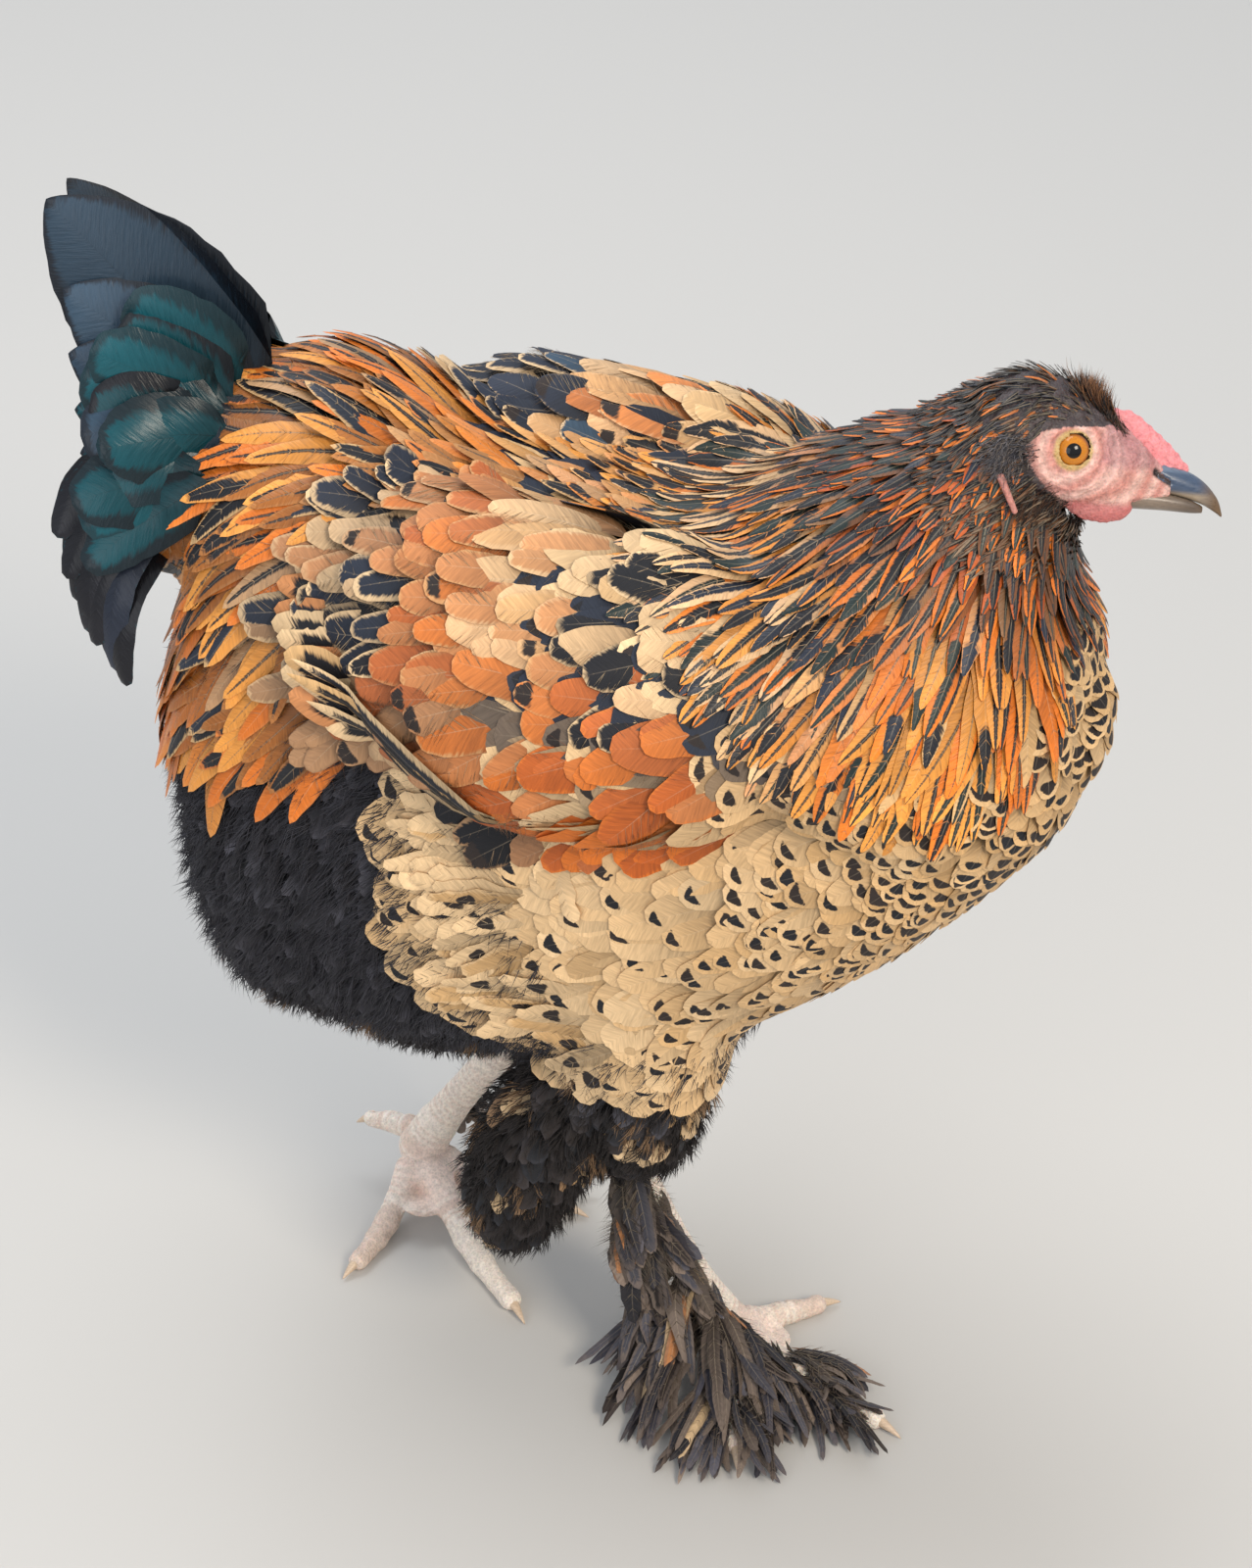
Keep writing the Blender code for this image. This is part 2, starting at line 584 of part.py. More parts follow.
def plate(stations, tip):
    """Closed vane through stations of (point, normal) rows; both faces are split alike"""
    solid = bmesh.new()
    low = [[solid.verts.new(point * CM) for point, _ in row] for row in stations]
    high = [[solid.verts.new((point + normal * VANE_THICK) * CM) for point, normal in row]
            for row in stations]
    end = solid.verts.new(tip * CM)
    last = len(low[0]) - 1
    for sheet in (low, high):
        for near, far in zip(sheet, sheet[1:]):
            for j in range(last):
                solid.faces.new((near[j], far[j], far[j + 1]))
                solid.faces.new((near[j], far[j + 1], near[j + 1]))
        for j in range(last):
            solid.faces.new((sheet[-1][j], end, sheet[-1][j + 1]))
    for j in (0, last):
        for i in range(len(low) - 1):
            solid.faces.new((low[i][j], low[i + 1][j], high[i + 1][j], high[i][j]))
        solid.faces.new((low[-1][j], end, high[-1][j]))
    solid.faces.new(low[0] + high[0][::-1])
    bmesh.ops.recalc_face_normals(solid, faces=solid.faces)
    return solid


def draped_vane(beds, root, tip, width, height, tilt, shape=lance, settle=True):
    """Feather from inside its core to its tip; it rests on what it would cross and is free elsewhere.

    A settled tip lies down on the nearest surface. The tilt lifts one edge over the next feather of the row.
    """
    root, tip = Vector(root), Vector(tip)
    if settle:
        touch, away = nearest(beds, tip)
        tip = raised(beds, touch + away * height, height) + away * VANE_THICK
    outward = beds[0].find_nearest(root)[1]
    across = outward.cross(tip - root).normalized()
    stations = []
    for t in LANCE_STATIONS if shape is lance else PADDLE_STATIONS:
        row = []
        for part in (-1.0, 1.0):
            spot = root.lerp(tip, t) + across * part * width / 2 * shape(t)
            rise = height + tilt * part
            if t > 0.0:
                row.append(raised(beds, spot, rise))
            else:
                below, away = beds[0].find_nearest(spot)[:2]
                row.append(below - away * (SINK - rise / 4))
        normal = nearest(beds, sum(row, Vector()) / len(row))[1]
        stations.append([(spot, normal) for spot in row])
    return plate(stations, tip)


def about(draw, value):
    """A value a little more or less than this one"""
    return value * draw.uniform(1.0 - VARIETY, 1.0 + VARIETY)


def heading(root, lie, length):
    """Tip of a feather from its root, its direction and its length"""
    return Vector(root) + Vector(lie).normalized() * length


def free_vane(root, bend, tip, out, width, shape=paddle, points=3):
    """Feather in the air along a bent line; its face looks outwards and its edges curl under"""
    root, bend, tip, out = (Vector(value) for value in (root, bend, tip, out))
    stations = []
    for t in LANCE_STATIONS if shape is lance else PADDLE_STATIONS:
        place = root.lerp(bend, t).lerp(bend.lerp(tip, t), t)
        along = ((bend - root) * (1 - t) + (tip - bend) * t).normalized()
        normal = (out - along * out.dot(along)).normalized()
        side = normal.cross(along)
        half = width / 2 * shape(t)
        stations.append([(place + side * part * half - normal * CUP * half * abs(part), normal)
                         for part in np.linspace(-1.0, 1.0, points)])
    return plate(stations, tip)


def body_solid(grow=0.0):
    """The whole trunk, before it is parted"""
    return loft(BODY, UPWARD, rings=16, sides=22, grow=grow, square=BODY_SQUARE, facing=FORWARD)


def behind_chest(solid, grow):
    """The part of the trunk behind the chest, larger by the growth also at its cut"""
    return keep_side(solid, CHEST_CUT[0], -Vector(CHEST_CUT[1]), gap=GAP / 2 - grow)


def seat_solid(grow=0.0):
    """The trunk's rear below the rump"""
    rear = behind_chest(body_solid(grow), grow)
    return keep_side(rear, RUMP_CUT[0], -Vector(RUMP_CUT[1]), gap=GAP / 2 - grow)


def chest_solid(grow=0.0):
    """The trunk's front"""
    return keep_side(body_solid(grow), *CHEST_CUT, gap=GAP / 2 - grow)


def build_trunk(bird):
    """Torso, saddle and fluff: the trunk parted by two thin cuts"""
    rump = keep_side(behind_chest(body_solid(), 0.0), *RUMP_CUT, gap=GAP / 2)
    add_object("torso", chest_solid(), "torso", bird)
    add_object("fluff", seat_solid(), "fluff", bird)
    return add_object("saddle", rump, "saddle", bird)


def saddle_lie(spot):
    """Saddle hackle runs back and falls down each flank"""
    return (-1.0, SADDLE_SPREAD * spot.y, SADDLE_CLIMB - SADDLE_FALL * abs(spot.y))


def lay_saddle(saddle, tail, draw):
    """Saddle hackle: rows of pointed feathers over the rump, the root of the tail and the fluff"""
    beds = beds_of(body_solid()) + [bed_of(tail.data)]

    def feathers(draw):
        vanes = []
        for rank, (place, spread, count, length) in enumerate(SADDLE_ROWS):
            along = place_of(BODY, place)
            for turn in np.linspace(90 - spread, 90 + spread, count):
                turn += draw.uniform(-STRAY_TURN, STRAY_TURN)
                root = rim_point(BODY, UPWARD, along, turn, FORWARD, BODY_SQUARE)
                tip = heading(root, saddle_lie(root), about(draw, length))
                height = SADDLE_HEIGHT + SADDLE_STEP * rank
                tilt = math.copysign(SHINGLE / 2, root.y)
                vanes.append(draped_vane(beds, root, tip, about(draw, SADDLE_WIDTH), height, tilt))
        return vanes

    feathered(saddle, feathers, [lambda: seat_solid(SNUG), lambda: chest_solid(SNUG)], draw, [tail])


def place_of(keys, x):
    """Fraction along a form where its middle is at an x"""
    places = np.linspace(0, 1, 200)
    return float(places[np.argmin(np.abs(rows_at(keys, places)[:, 0] - x))])


def build_tail(bird, draw):
    """Quills in a tent, round coverts over them and curved sickles down each side"""
    tail = add_object("tail", loft(TAIL, UPWARD, rings=7, sides=12), "tail", bird)

    def feathers(draw):
        vanes = []
        for hand in SIDES.values():
            for rank, (length, climb, width) in enumerate(QUILLS):
                root = Vector(QUILL_ROOT) + Vector(QUILL_STEP) * rank
                rise = math.radians(climb)
                tip = root + Vector((-math.cos(rise) * length, -QUILL_SPREAD * rank, math.sin(rise) * length))
                bend = root.lerp(tip, 0.5) + Vector(QUILL_BEND)
                line = (handed(value, hand) for value in (root, bend, tip, QUILL_OUT))
                vanes.append(free_vane(*line, width))
            for root, bend, tip, width in COVERTS:
                line = (handed(value, hand) for value in (root, bend, tip, COVERT_OUT))
                vanes.append(free_vane(*line, about(draw, width), points=2))
        return vanes

    feathered(tail, feathers, [lambda: body_solid(GAP)], draw)
    return tail


def wing_solid(side, grow=0.0):
    """A folded wing lying on the flank"""
    keys = WING if side == "right" else mirrored(WING)
    return loft(keys, handed(WING_SLOPE, SIDES[side]), rings=10, sides=12, grow=grow)


def build_wing(side, bird, saddle, draw):
    """Folded wing: flight feathers and two tiers of coverts on a thin core"""
    hand = SIDES[side]
    wing = add_object(f"wing_{side}", wing_solid(side), "wing", bird)
    boolean(wing, [body_solid(GAP)], "DIFFERENCE")
    beds = beds_of(wing_solid(side), body_solid(), behind_chest(body_solid(SADDLE_COAT), 0.0))

    def feathers(draw):
        vanes = []
        for low, middle, high, count, width, height in WING_TIERS:
            for place in np.linspace(0.0, 1.0, count):
                root, tip = (handed(rows_at(ends, [place])[0], hand) for ends in zip(low, middle, high))
                tip.x += draw.uniform(-STRAY_TIP, STRAY_TIP)
                settle = height > SETTLED
                vanes.append(draped_vane(beds, root, tip, width, height, -SHINGLE * hand, paddle, settle))
        return vanes

    feathered(wing, feathers, [lambda: body_solid(SNUG), lambda: neck_solid(GAP)], draw, [saddle])
    return wing


def neck_solid(grow=0.0):
    """The neck inside its hackle"""
    return loft(NECK, BACKWARD, rings=8, sides=16, grow=grow - NECK_COAT)


def build_neck(bird, wings, draw):
    """Neck with rings of hackle that fall from the head over the shoulders"""
    neck = add_object("neck", neck_solid(), "neck", bird)
    boolean(neck, [body_solid(GAP)] + [wing_solid(side, GAP) for side in SIDES], "DIFFERENCE")
    beds = beds_of(neck_solid(), body_solid(), *(wing_solid(side, WING_COAT) for side in SIDES))
    source = Vector(HACKLE_SOURCE)

    def feathers(draw):
        vanes = []
        for place, count, length, height in HACKLE_RINGS:
            for turn in np.arange(count) * 360 / count + draw.uniform(0, 360 / count):
                back = math.sin(math.radians(turn))
                share = HACKLE_SHARE + HACKLE_BACK * back - HACKLE_THROAT * max(0.0, -back) ** 2
                root = rim_point(NECK, BACKWARD, place, turn)
                tip = heading(root, root - source, about(draw, length * share))
                width = HACKLE_WIDTH - HACKLE_TAPER * place
                vanes.append(draped_vane(beds, root, tip, width, height, SHINGLE / 2))
        return vanes

    cutters = [lambda: head_solid(GAP), lambda: body_solid(SNUG)]
    cutters += [lambda side=side: wing_solid(side, SNUG) for side in SIDES]
    cutters += [lambda hand=hand: ear_solid(hand, GAP) for hand in SIDES.values()]
    cutters += [lambda side=side: wattle_solid(side, GAP) for side in SIDES]
    feathered(neck, feathers, cutters, draw, wings)


def limb_solid(form, side, grow=0.0):
    """A drumstick, or the ball of soft feather behind its hock"""
    return loft(form[side], FORWARD, rings=8, sides=12, grow=grow)


def shank_solid(side, grow=0.0):
    """The lower leg down to the knuckle where the toes meet"""
    return loft(SHANK[side], FORWARD, rings=10, sides=8, grow=grow)


def hanging_feathers(form, side, beds, rows, height):
    """Maker of the feathers that hang from a drumstick or a hock"""
    place, first, last, count, length = rows

    def feathers(draw):
        vanes = []
        for turn in np.linspace(first, last, count) + draw.uniform(-STRAY_TURN, STRAY_TURN):
            root = rim_point(form[side], FORWARD, place, turn if side == "right" else 180 - turn)
            tip = heading(root, THIGH_LIE, about(draw, length))
            vanes.append(draped_vane(beds, root, tip, THIGH_WIDTH, height, SHINGLE / 2, settle=False))
        return vanes

    return feathers


def build_leg(side, bird, draw):
    """Feathered drumstick and hock, scaled shank, toes and claws"""
    thigh = add_object(f"thigh_{side}", limb_solid(THIGH, side), "thigh", bird)
    hock = add_object(f"hock_{side}", limb_solid(HOCK, side), "thigh", bird)
    beds = beds_of(limb_solid(THIGH, side), limb_solid(HOCK, side))
    feathers = hanging_feathers(THIGH, side, beds, THIGH_FEATHERS, THIGH_HEIGHT)
    feathered(thigh, feathers, [lambda: body_solid(GAP)], draw)
    boolean(hock, [limb_solid(THIGH, side, GAP)], "DIFFERENCE")
    feathers = hanging_feathers(HOCK, side, beds[::-1], HOCK_FEATHERS, HOCK_HEIGHT)
    cutters = [lambda: body_solid(GAP), lambda: limb_solid(THIGH, side, SNUG)]
    feathered(hock, feathers, cutters, draw)
    shank = add_object(f"shank_{side}", keep_side(shank_solid(side), FLOOR, UPWARD), "shank", bird)
    boolean(shank, [limb_solid(THIGH, side, GAP), limb_solid(HOCK, side, GAP)], "DIFFERENCE")
    cutters = [lambda: limb_solid(THIGH, side, SNUG), lambda: limb_solid(HOCK, side, SNUG)]
    add_foot_feathers(shank, side, draw, cutters)
    build_foot(side, bird, draw)


def add_foot_feathers(made, side, draw, cutters=()):
    """Feathers of the outer side of a shank or toe"""
    out = handed(FOOT_OUT, SIDES[side])
    rows = [row[1:] for row in FOOT_FEATHERS if row[0] == made.name]

    def feathers(draw):
        return [free_vane(root, bend, tip, out, about(draw, width), lance, points=2)
                for root, bend, tip, width in rows]

    if rows:
        feathered(made, feathers, cutters, draw)


def toe_keys(points, radius):
    """Rows of a toe: it thins to its end, swells at each joint and rests on its underside"""
    rows = []
    places = np.linspace(0, 1, 7)
    for t, (x, y, lift) in zip(places, rows_at(points[:3], places)):
        swell = 1.0 + TOE_SWELL * math.cos(TOE_JOINTS * 2 * math.pi * t)
        girth = radius * (1.0 - TOE_TAPER * t) * swell
        rows.append((x, y, max(lift, 0.0) + girth - FLOOR_SINK, girth, girth))
    return rows


def claw_keys(points, start):
    """Rows of a claw: from the end of its toe down to its point"""
    point = np.array((*points[3][:2], points[3][2] + CLAW_CLEAR))
    level = np.array((*point[:2], start[2]))
    rows = []
    for t in (0.0, 0.35, 0.7, 1.0):
        place = start + (level - start) * t
        place[2] += (point[2] - start[2]) * t * t
        girth = CLAW_RADIUS * (1.0 - CLAW_TAPER * t * t)
        rows.append((*place, girth, girth))
    return rows


def toe_solid(side, toe, grow=0.0):
    """A toe"""
    return loft(toe_keys(TOES[side][toe], TOE_RADIUS[toe]), UPWARD, rings=7, sides=7, grow=grow)


def build_foot(side, bird, draw):
    """Toes and claws of one foot, cut clear of the shank and of each other"""
    done = []
    for toe, points in TOES[side].items():
        solid = keep_side(toe_solid(side, toe), FLOOR, UPWARD)
        made = add_object(f"toe_{side}_{toe}", solid, "toe", bird)
        cutters = [shank_solid(side, GAP)] + [toe_solid(side, other, GAP) for other in done]
        boolean(made, cutters, "DIFFERENCE")
        add_foot_feathers(made, side, draw)
        done.append(toe)
        rows = toe_keys(points, TOE_RADIUS[toe])
        end = np.array(rows[-1][:3])
        along = end - np.array(rows[-2][:3])
        start = end + along / np.linalg.norm(along) * GAP * 2
        claw = loft(claw_keys(points, start), UPWARD, rings=4, sides=5)
        add_object(f"claw_{side}_{toe}", claw, "claw", bird)


def head_matrix():
    """Place of the head's own axes"""
    turn = Matrix.Rotation(math.radians(HEAD_TURN), 4, "Z")
    dip = Matrix.Rotation(math.radians(HEAD_DIP), 4, "Y")
    tilt = Matrix.Rotation(math.radians(-HEAD_TILT), 4, "X")
    return Matrix.Translation(Vector(HEAD_AT) * CM) @ turn @ dip @ tilt


def on_head(solid):
    """Move a bmesh from the head's own axes to its place"""
    bmesh.ops.transform(solid, matrix=head_matrix(), verts=solid.verts)
    return solid


def head_solid(grow=0.0):
    """The skull with its close feather"""
    return on_head(loft(HEAD, UPWARD, rings=10, sides=14, grow=grow))


def ball(middle, size, segments=8, rings=6):
    """Ellipsoid in the head's own axes"""
    solid = bmesh.new()
    bmesh.ops.create_uvsphere(solid, u_segments=segments, v_segments=rings, radius=1.0)
    shape = Matrix.Translation(Vector(middle) * CM) @ Matrix.Diagonal((*(value * CM for value in size), 1.0))
    bmesh.ops.transform(solid, matrix=shape, verts=solid.verts)
    return on_head(solid)


def hoop(middle, radius, roll, stretch=1.0):
    """Ring of skin in the head's own axes, facing sideways, longer up and down by the stretch"""
    bpy.ops.mesh.primitive_torus_add(major_radius=radius * CM, minor_radius=roll * CM,
                                     major_segments=10, minor_segments=4)
    ring = bpy.context.object
    solid = bmesh.new()
    solid.from_mesh(ring.data)
    bpy.data.objects.remove(ring, do_unlink=True)
    place = (Matrix.Translation(Vector(middle) * CM) @ Matrix.Diagonal((1.0, 1.0, stretch, 1.0))
             @ Matrix.Rotation(math.radians(90), 4, "X"))
    bmesh.ops.transform(solid, matrix=place, verts=solid.verts)
    return on_head(solid)


def eye_solid(side, grow=0.0):
    """An eyeball"""
    return ball((0.0, -EYE_SIDE * SIDES[side], 0.0), (EYE_RADIUS + grow,) * 3, segments=10, rings=8)


def wattle_solid(side, grow=0.0):
    """A short wattle under the mouth"""
    keys = WATTLE if side == "right" else mirrored(WATTLE)
    return on_head(loft(keys, UPWARD, rings=8, sides=8, grow=grow))


def upper_solid(grow=0.0):
    """The upper beak"""
    return on_head(loft(BEAK_UPPER, UPWARD, rings=7, sides=10, grow=grow))


def ear_solid(hand, grow=0.0):
    """The rim of an ear"""
    return hoop(handed(EAR_AT, hand), EAR_RADIUS, EAR_ROLL + grow, EAR_STRETCH)


def mouth_solid():
    """Thin cut of the mouth line"""
    return on_head(loft(MOUTH, UPWARD, rings=5, sides=8, square=4.0))


def comb_row(side, height, girth, bulbs):
    """One row of a pea comb"""
    count = 4 * bulbs + 1
    line = rows_at(COMB_LINE, np.linspace(0, 1, count))
    rows = []
    for step, (x, z) in enumerate(line):
        t = step / (count - 1)
        swell = 1.0 - COMB_DIP * (1.0 + math.cos(2 * math.pi * bulbs * t))
        thin = math.sin(math.pi * (COMB_END + (1.0 - 2 * COMB_END) * t)) ** 0.5
        rows.append((x, side, z + height, girth * swell * thin, girth * swell * thin))
    return on_head(loft(rows, UPWARD, rings=3 * bulbs + 1, sides=6))


def build_head(bird):
    """Head with lids, ears and mouth line, then its eyes, beak, comb and wattles"""
    head = add_object("head", head_solid(), "head", bird)
    skin = []
    for hand in SIDES.values():
        skin.append(hoop(handed((0.0, -LID_SIDE, 0.0), hand), LID_RADIUS, LID_ROLL))
        skin.append(ear_solid(hand))
    boolean(head, skin, "UNION")
    cuts = [eye_solid(side, GAP) for side in SIDES] + [mouth_solid()]
    cuts += [ball(handed(EAR_AT, hand), EAR_HOLE) for hand in SIDES.values()]
    boolean(head, cuts, "DIFFERENCE")
    for side in SIDES:
        add_object(f"eye_{side}", eye_solid(side), "eye", bird)
        wattle = add_object(f"wattle_{side}", wattle_solid(side), "wattle", bird)
        boolean(wattle, [head_solid(GAP)], "DIFFERENCE")
    upper = add_object("beak_upper", upper_solid(), "beak", bird)
    nostrils = [ball(handed(NOSTRIL_AT, hand), NOSTRIL_SIZE) for hand in SIDES.values()]
    boolean(upper, [head_solid(GAP), mouth_solid()] + nostrils, "DIFFERENCE")
    lower = add_object("beak_lower", on_head(loft(BEAK_LOWER, UPWARD, rings=7, sides=10)), "beak", bird)
    cuts = [head_solid(GAP), upper_solid(GAP)] + [wattle_solid(side, GAP) for side in SIDES]
    boolean(lower, cuts, "DIFFERENCE")
    comb = add_object("comb", comb_row(*COMB_ROWS[0]), "comb", bird)
    boolean(comb, [comb_row(*row) for row in COMB_ROWS[1:]], "UNION")
    boolean(comb, [head_solid(GAP), upper_solid(GAP)], "DIFFERENCE")


def centre_on_floor(bird):
    """Move every piece so that the middle of the bird's box is over the origin"""
    corners = np.array([vert.co for item in bird.objects for vert in item.data.vertices])
    middle = (corners.min(axis=0) + corners.max(axis=0)) / 2
    for item in bird.objects:
        item.data.transform(Matrix.Translation((-middle[0], -middle[1], 0.0)))


def build():
    """Model every piece of the bird"""
    clear_scene()
    draw = random.Random(SEED)
    bird = bpy.data.collections.new("brahma_cockerel")
    bpy.context.scene.collection.children.link(bird)
    saddle = build_trunk(bird)
    tail = build_tail(bird, draw)
    lay_saddle(saddle, tail, draw)
    wings = [build_wing(side, bird, saddle, draw) for side in SIDES]
    build_neck(bird, wings, draw)
    build_head(bird)
    for side in SIDES:
        build_leg(side, bird, draw)
    centre_on_floor(bird)


if __name__ == "__main__":
    build()
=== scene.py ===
"""Brahma cockerel in full plumage, life size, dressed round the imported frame.

Sizes are centimetres in the bird's own axes until a mesh is made: +X ahead, +Y to its left, floor at z = 0.
A table row of a form is x, y, z of its middle, half width and half height.
"""
import math

import bpy
import numpy as np
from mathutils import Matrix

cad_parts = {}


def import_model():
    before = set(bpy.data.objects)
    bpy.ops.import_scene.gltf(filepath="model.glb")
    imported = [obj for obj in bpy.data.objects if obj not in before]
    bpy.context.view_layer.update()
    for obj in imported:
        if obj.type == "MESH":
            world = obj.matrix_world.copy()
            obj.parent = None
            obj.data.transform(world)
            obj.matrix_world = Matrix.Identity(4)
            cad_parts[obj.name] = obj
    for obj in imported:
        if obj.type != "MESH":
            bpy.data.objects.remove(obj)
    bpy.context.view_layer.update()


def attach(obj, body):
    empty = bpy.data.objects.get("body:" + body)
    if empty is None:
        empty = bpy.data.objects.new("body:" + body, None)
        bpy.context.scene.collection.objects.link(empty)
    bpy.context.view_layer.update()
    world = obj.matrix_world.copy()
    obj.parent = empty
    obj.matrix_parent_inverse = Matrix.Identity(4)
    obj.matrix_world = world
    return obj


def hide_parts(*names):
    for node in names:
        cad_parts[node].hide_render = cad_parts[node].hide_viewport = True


CM = 0.01
SEED = 11
# From the bird's own axes to the frame
SHIFT = np.array((0.20, -0.09, 0.0))
X_WAY, Y_WAY, Z_WAY = np.eye(3)

# Camera: the point it looks at, its place round it, and its lens
LOOK_AT = (0.0, 0.0, 24.1)
AZIMUTH = 18.0
ELEVATION = 35.0
DISTANCE = 135.0
SENSOR = 36.0
LENS = 88.1

# Outer face of the plumage
BODY = (
    (-15.8, 0.0, 22.6, 1.8, 2.6), (-15.2, 0.0, 23.2, 4.4, 6.6), (-13.2, 0.0, 25.2, 6.8, 12.0),
    (-10.0, 0.0, 25.7, 7.8, 12.9), (-5.0, 0.0, 24.7, 8.3, 12.0), (0.0, 0.0, 25.4, 8.3, 10.5),
    (5.0, 0.0, 26.2, 8.1, 9.6), (9.5, 0.0, 27.7, 7.4, 7.9), (13.0, 0.0, 29.1, 6.0, 5.9),
    (15.5, 0.0, 29.8, 3.8, 3.6), (16.4, 0.0, 30.0, 1.5, 1.5),
)
BODY_SQUARE = 2.3
NECK = (
    (8.6, 0.0, 30.6, 8.0, 7.4), (9.4, 0.0, 33.0, 7.6, 6.8), (10.4, 0.0, 35.4, 6.0, 5.6),
    (11.4, 0.0, 37.4, 4.4, 4.3), (12.4, 0.0, 39.0, 3.2, 3.2), (13.0, 0.0, 40.2, 2.4, 2.4),
)
NECK_WAY = (4.4, 0.0, 9.6)
WING = (
    (7.4, -6.3, 32.2, 0.5, 1.0), (6.0, -6.4, 32.4, 1.3, 3.0), (3.0, -6.5, 32.8, 1.8, 4.2),
    (-1.5, -6.4, 33.0, 1.9, 4.3), (-5.0, -6.0, 33.6, 1.4, 3.2), (-6.8, -5.8, 34.0, 0.8, 1.7),
    (-7.6, -5.7, 34.2, 0.3, 0.5),
)
WING_SLOPE = (0.0, 0.59, 0.81)
WING_COAT = 0.9
TAIL = (
    (-12.2, 0.0, 33.8, 4.2, 3.0), (-14.0, 0.0, 34.6, 4.7, 3.5), (-15.6, 0.0, 36.2, 3.2, 2.6),
    (-16.6, 0.0, 38.0, 0.7, 0.7),
)
TAIL_WAY = (-4.4, 0.0, 4.2)
THIGH = {
    -1: ((2.0, -4.0, 20.5, 3.2, 3.6), (2.0, -4.3, 17.5, 2.9, 3.3), (2.0, -4.4, 15.2, 2.6, 2.9),
         (2.1, -4.0, 12.6, 2.4, 2.2), (1.6, -3.2, 10.4, 1.8, 1.8), (1.0, -2.7, 9.0, 1.0, 1.0)),
    1: ((-0.6, 3.9, 19.5, 3.1, 3.8), (-2.0, 4.5, 15.5, 3.0, 3.0), (-3.2, 4.3, 13.0, 2.4, 2.3),
        (-4.2, 4.1, 11.2, 1.7, 1.7), (-4.8, 4.0, 10.2, 1.0, 1.0)),
}
HOCK = {
    -1: ((0.2, -4.3, 15.0, 2.3, 2.5), (-1.4, -4.4, 12.0, 2.7, 2.7), (-2.6, -4.2, 8.6, 2.4, 2.4),
         (-3.0, -4.0, 6.0, 1.6, 1.6), (-3.1, -4.0, 5.0, 0.5, 0.5)),
    1: ((-3.0, 4.6, 14.5, 2.2, 2.4), (-4.8, 4.8, 12.4, 2.4, 2.4), (-5.8, 4.8, 9.9, 2.0, 2.0),
        (-6.1, 4.7, 8.3, 1.0, 1.1), (-6.1, 4.7, 7.6, 0.4, 0.4)),
}
SHANK = {
    -1: ((0.7, -2.5, 9.3, 0.95, 0.9), (1.4, -2.3, 7.6, 0.8, 0.75), (2.6, -1.9, 4.8, 0.66, 0.68),
         (3.7, -1.6, 2.4, 0.75, 0.72), (4.4, -1.4, 1.1, 1.0, 0.85), (4.7, -1.3, 0.6, 0.7, 0.6)),
    1: ((-4.5, 4.0, 10.6, 0.95, 0.9), (-5.5, 3.9, 8.9, 0.8, 0.75), (-7.2, 3.7, 6.3, 0.66, 0.68),
        (-8.6, 3.4, 4.2, 0.75, 0.72), (-9.4, 3.1, 2.7, 1.0, 0.85), (-9.7, 3.0, 2.1, 0.6, 0.5)),
}
# Each toe: its root, bend and end, then its claw's point: x, y and the height of its underside
TOES = {
    -1: {"inner": ((5.1, -0.7, 0.1), (6.3, 0.4, 0.0), (7.3, 1.3, 0.0), (8.1, 2.0, 0.0)),
         "middle": ((5.4, -1.7, 0.1), (8.3, -2.9, 0.0), (11.0, -4.0, 0.0), (12.2, -4.5, 0.0)),
         "outer": ((4.8, -2.2, 0.1), (5.7, -4.7, 0.0), (6.5, -6.9, 0.0), (6.9, -8.0, 0.0)),
         "hind": ((3.6, -0.9, 0.4), (2.5, -0.1, 0.0), (1.7, 0.4, 0.0), (0.9, 0.8, 0.0))},
    1: {"inner": ((-9.7, 2.2, 1.4), (-10.1, -0.1, 0.0), (-10.4, -1.8, 0.0), (-10.7, -2.8, 0.0)),
        "middle": ((-8.8, 2.4, 1.4), (-6.2, -0.1, 0.0), (-4.0, -2.1, 0.0), (-3.1, -3.0, 0.0)),
        "outer": ((-8.6, 3.2, 1.4), (-5.8, 3.6, 0.0), (-3.8, 3.7, 0.0), (-2.7, 3.6, 0.0)),
        "hind": ((-10.2, 3.5, 2.5), (-11.1, 3.7, 2.5), (-11.9, 3.8, 2.4), (-12.6, 3.8, 2.2))},
}
TOE_RADIUS = {"inner": 0.55, "middle": 0.6, "outer": 0.55, "hind": 0.48}
SIDE_NAMES = {-1: "right", 1: "left"}

# Head in its own axes, set midway between the eyes: turned left, dipped and tilted away, in degrees
HEAD_AT = (14.7, 0.0, 40.4)
HEAD_TURN, HEAD_DIP, HEAD_TILT = 17.0, 6.0, 25.0
HEAD = (
    (-3.3, 0.0, -0.5, 0.7, 0.8), (-2.9, 0.0, -0.3, 1.6, 1.8), (-1.7, 0.0, 0.0, 2.0, 2.35),
    (-0.3, 0.0, 0.1, 1.75, 2.15), (1.0, 0.0, -0.2, 1.45, 1.7), (2.1, 0.0, -0.5, 1.0, 1.25),
    (2.75, 0.0, -0.75, 0.7, 0.9),
)

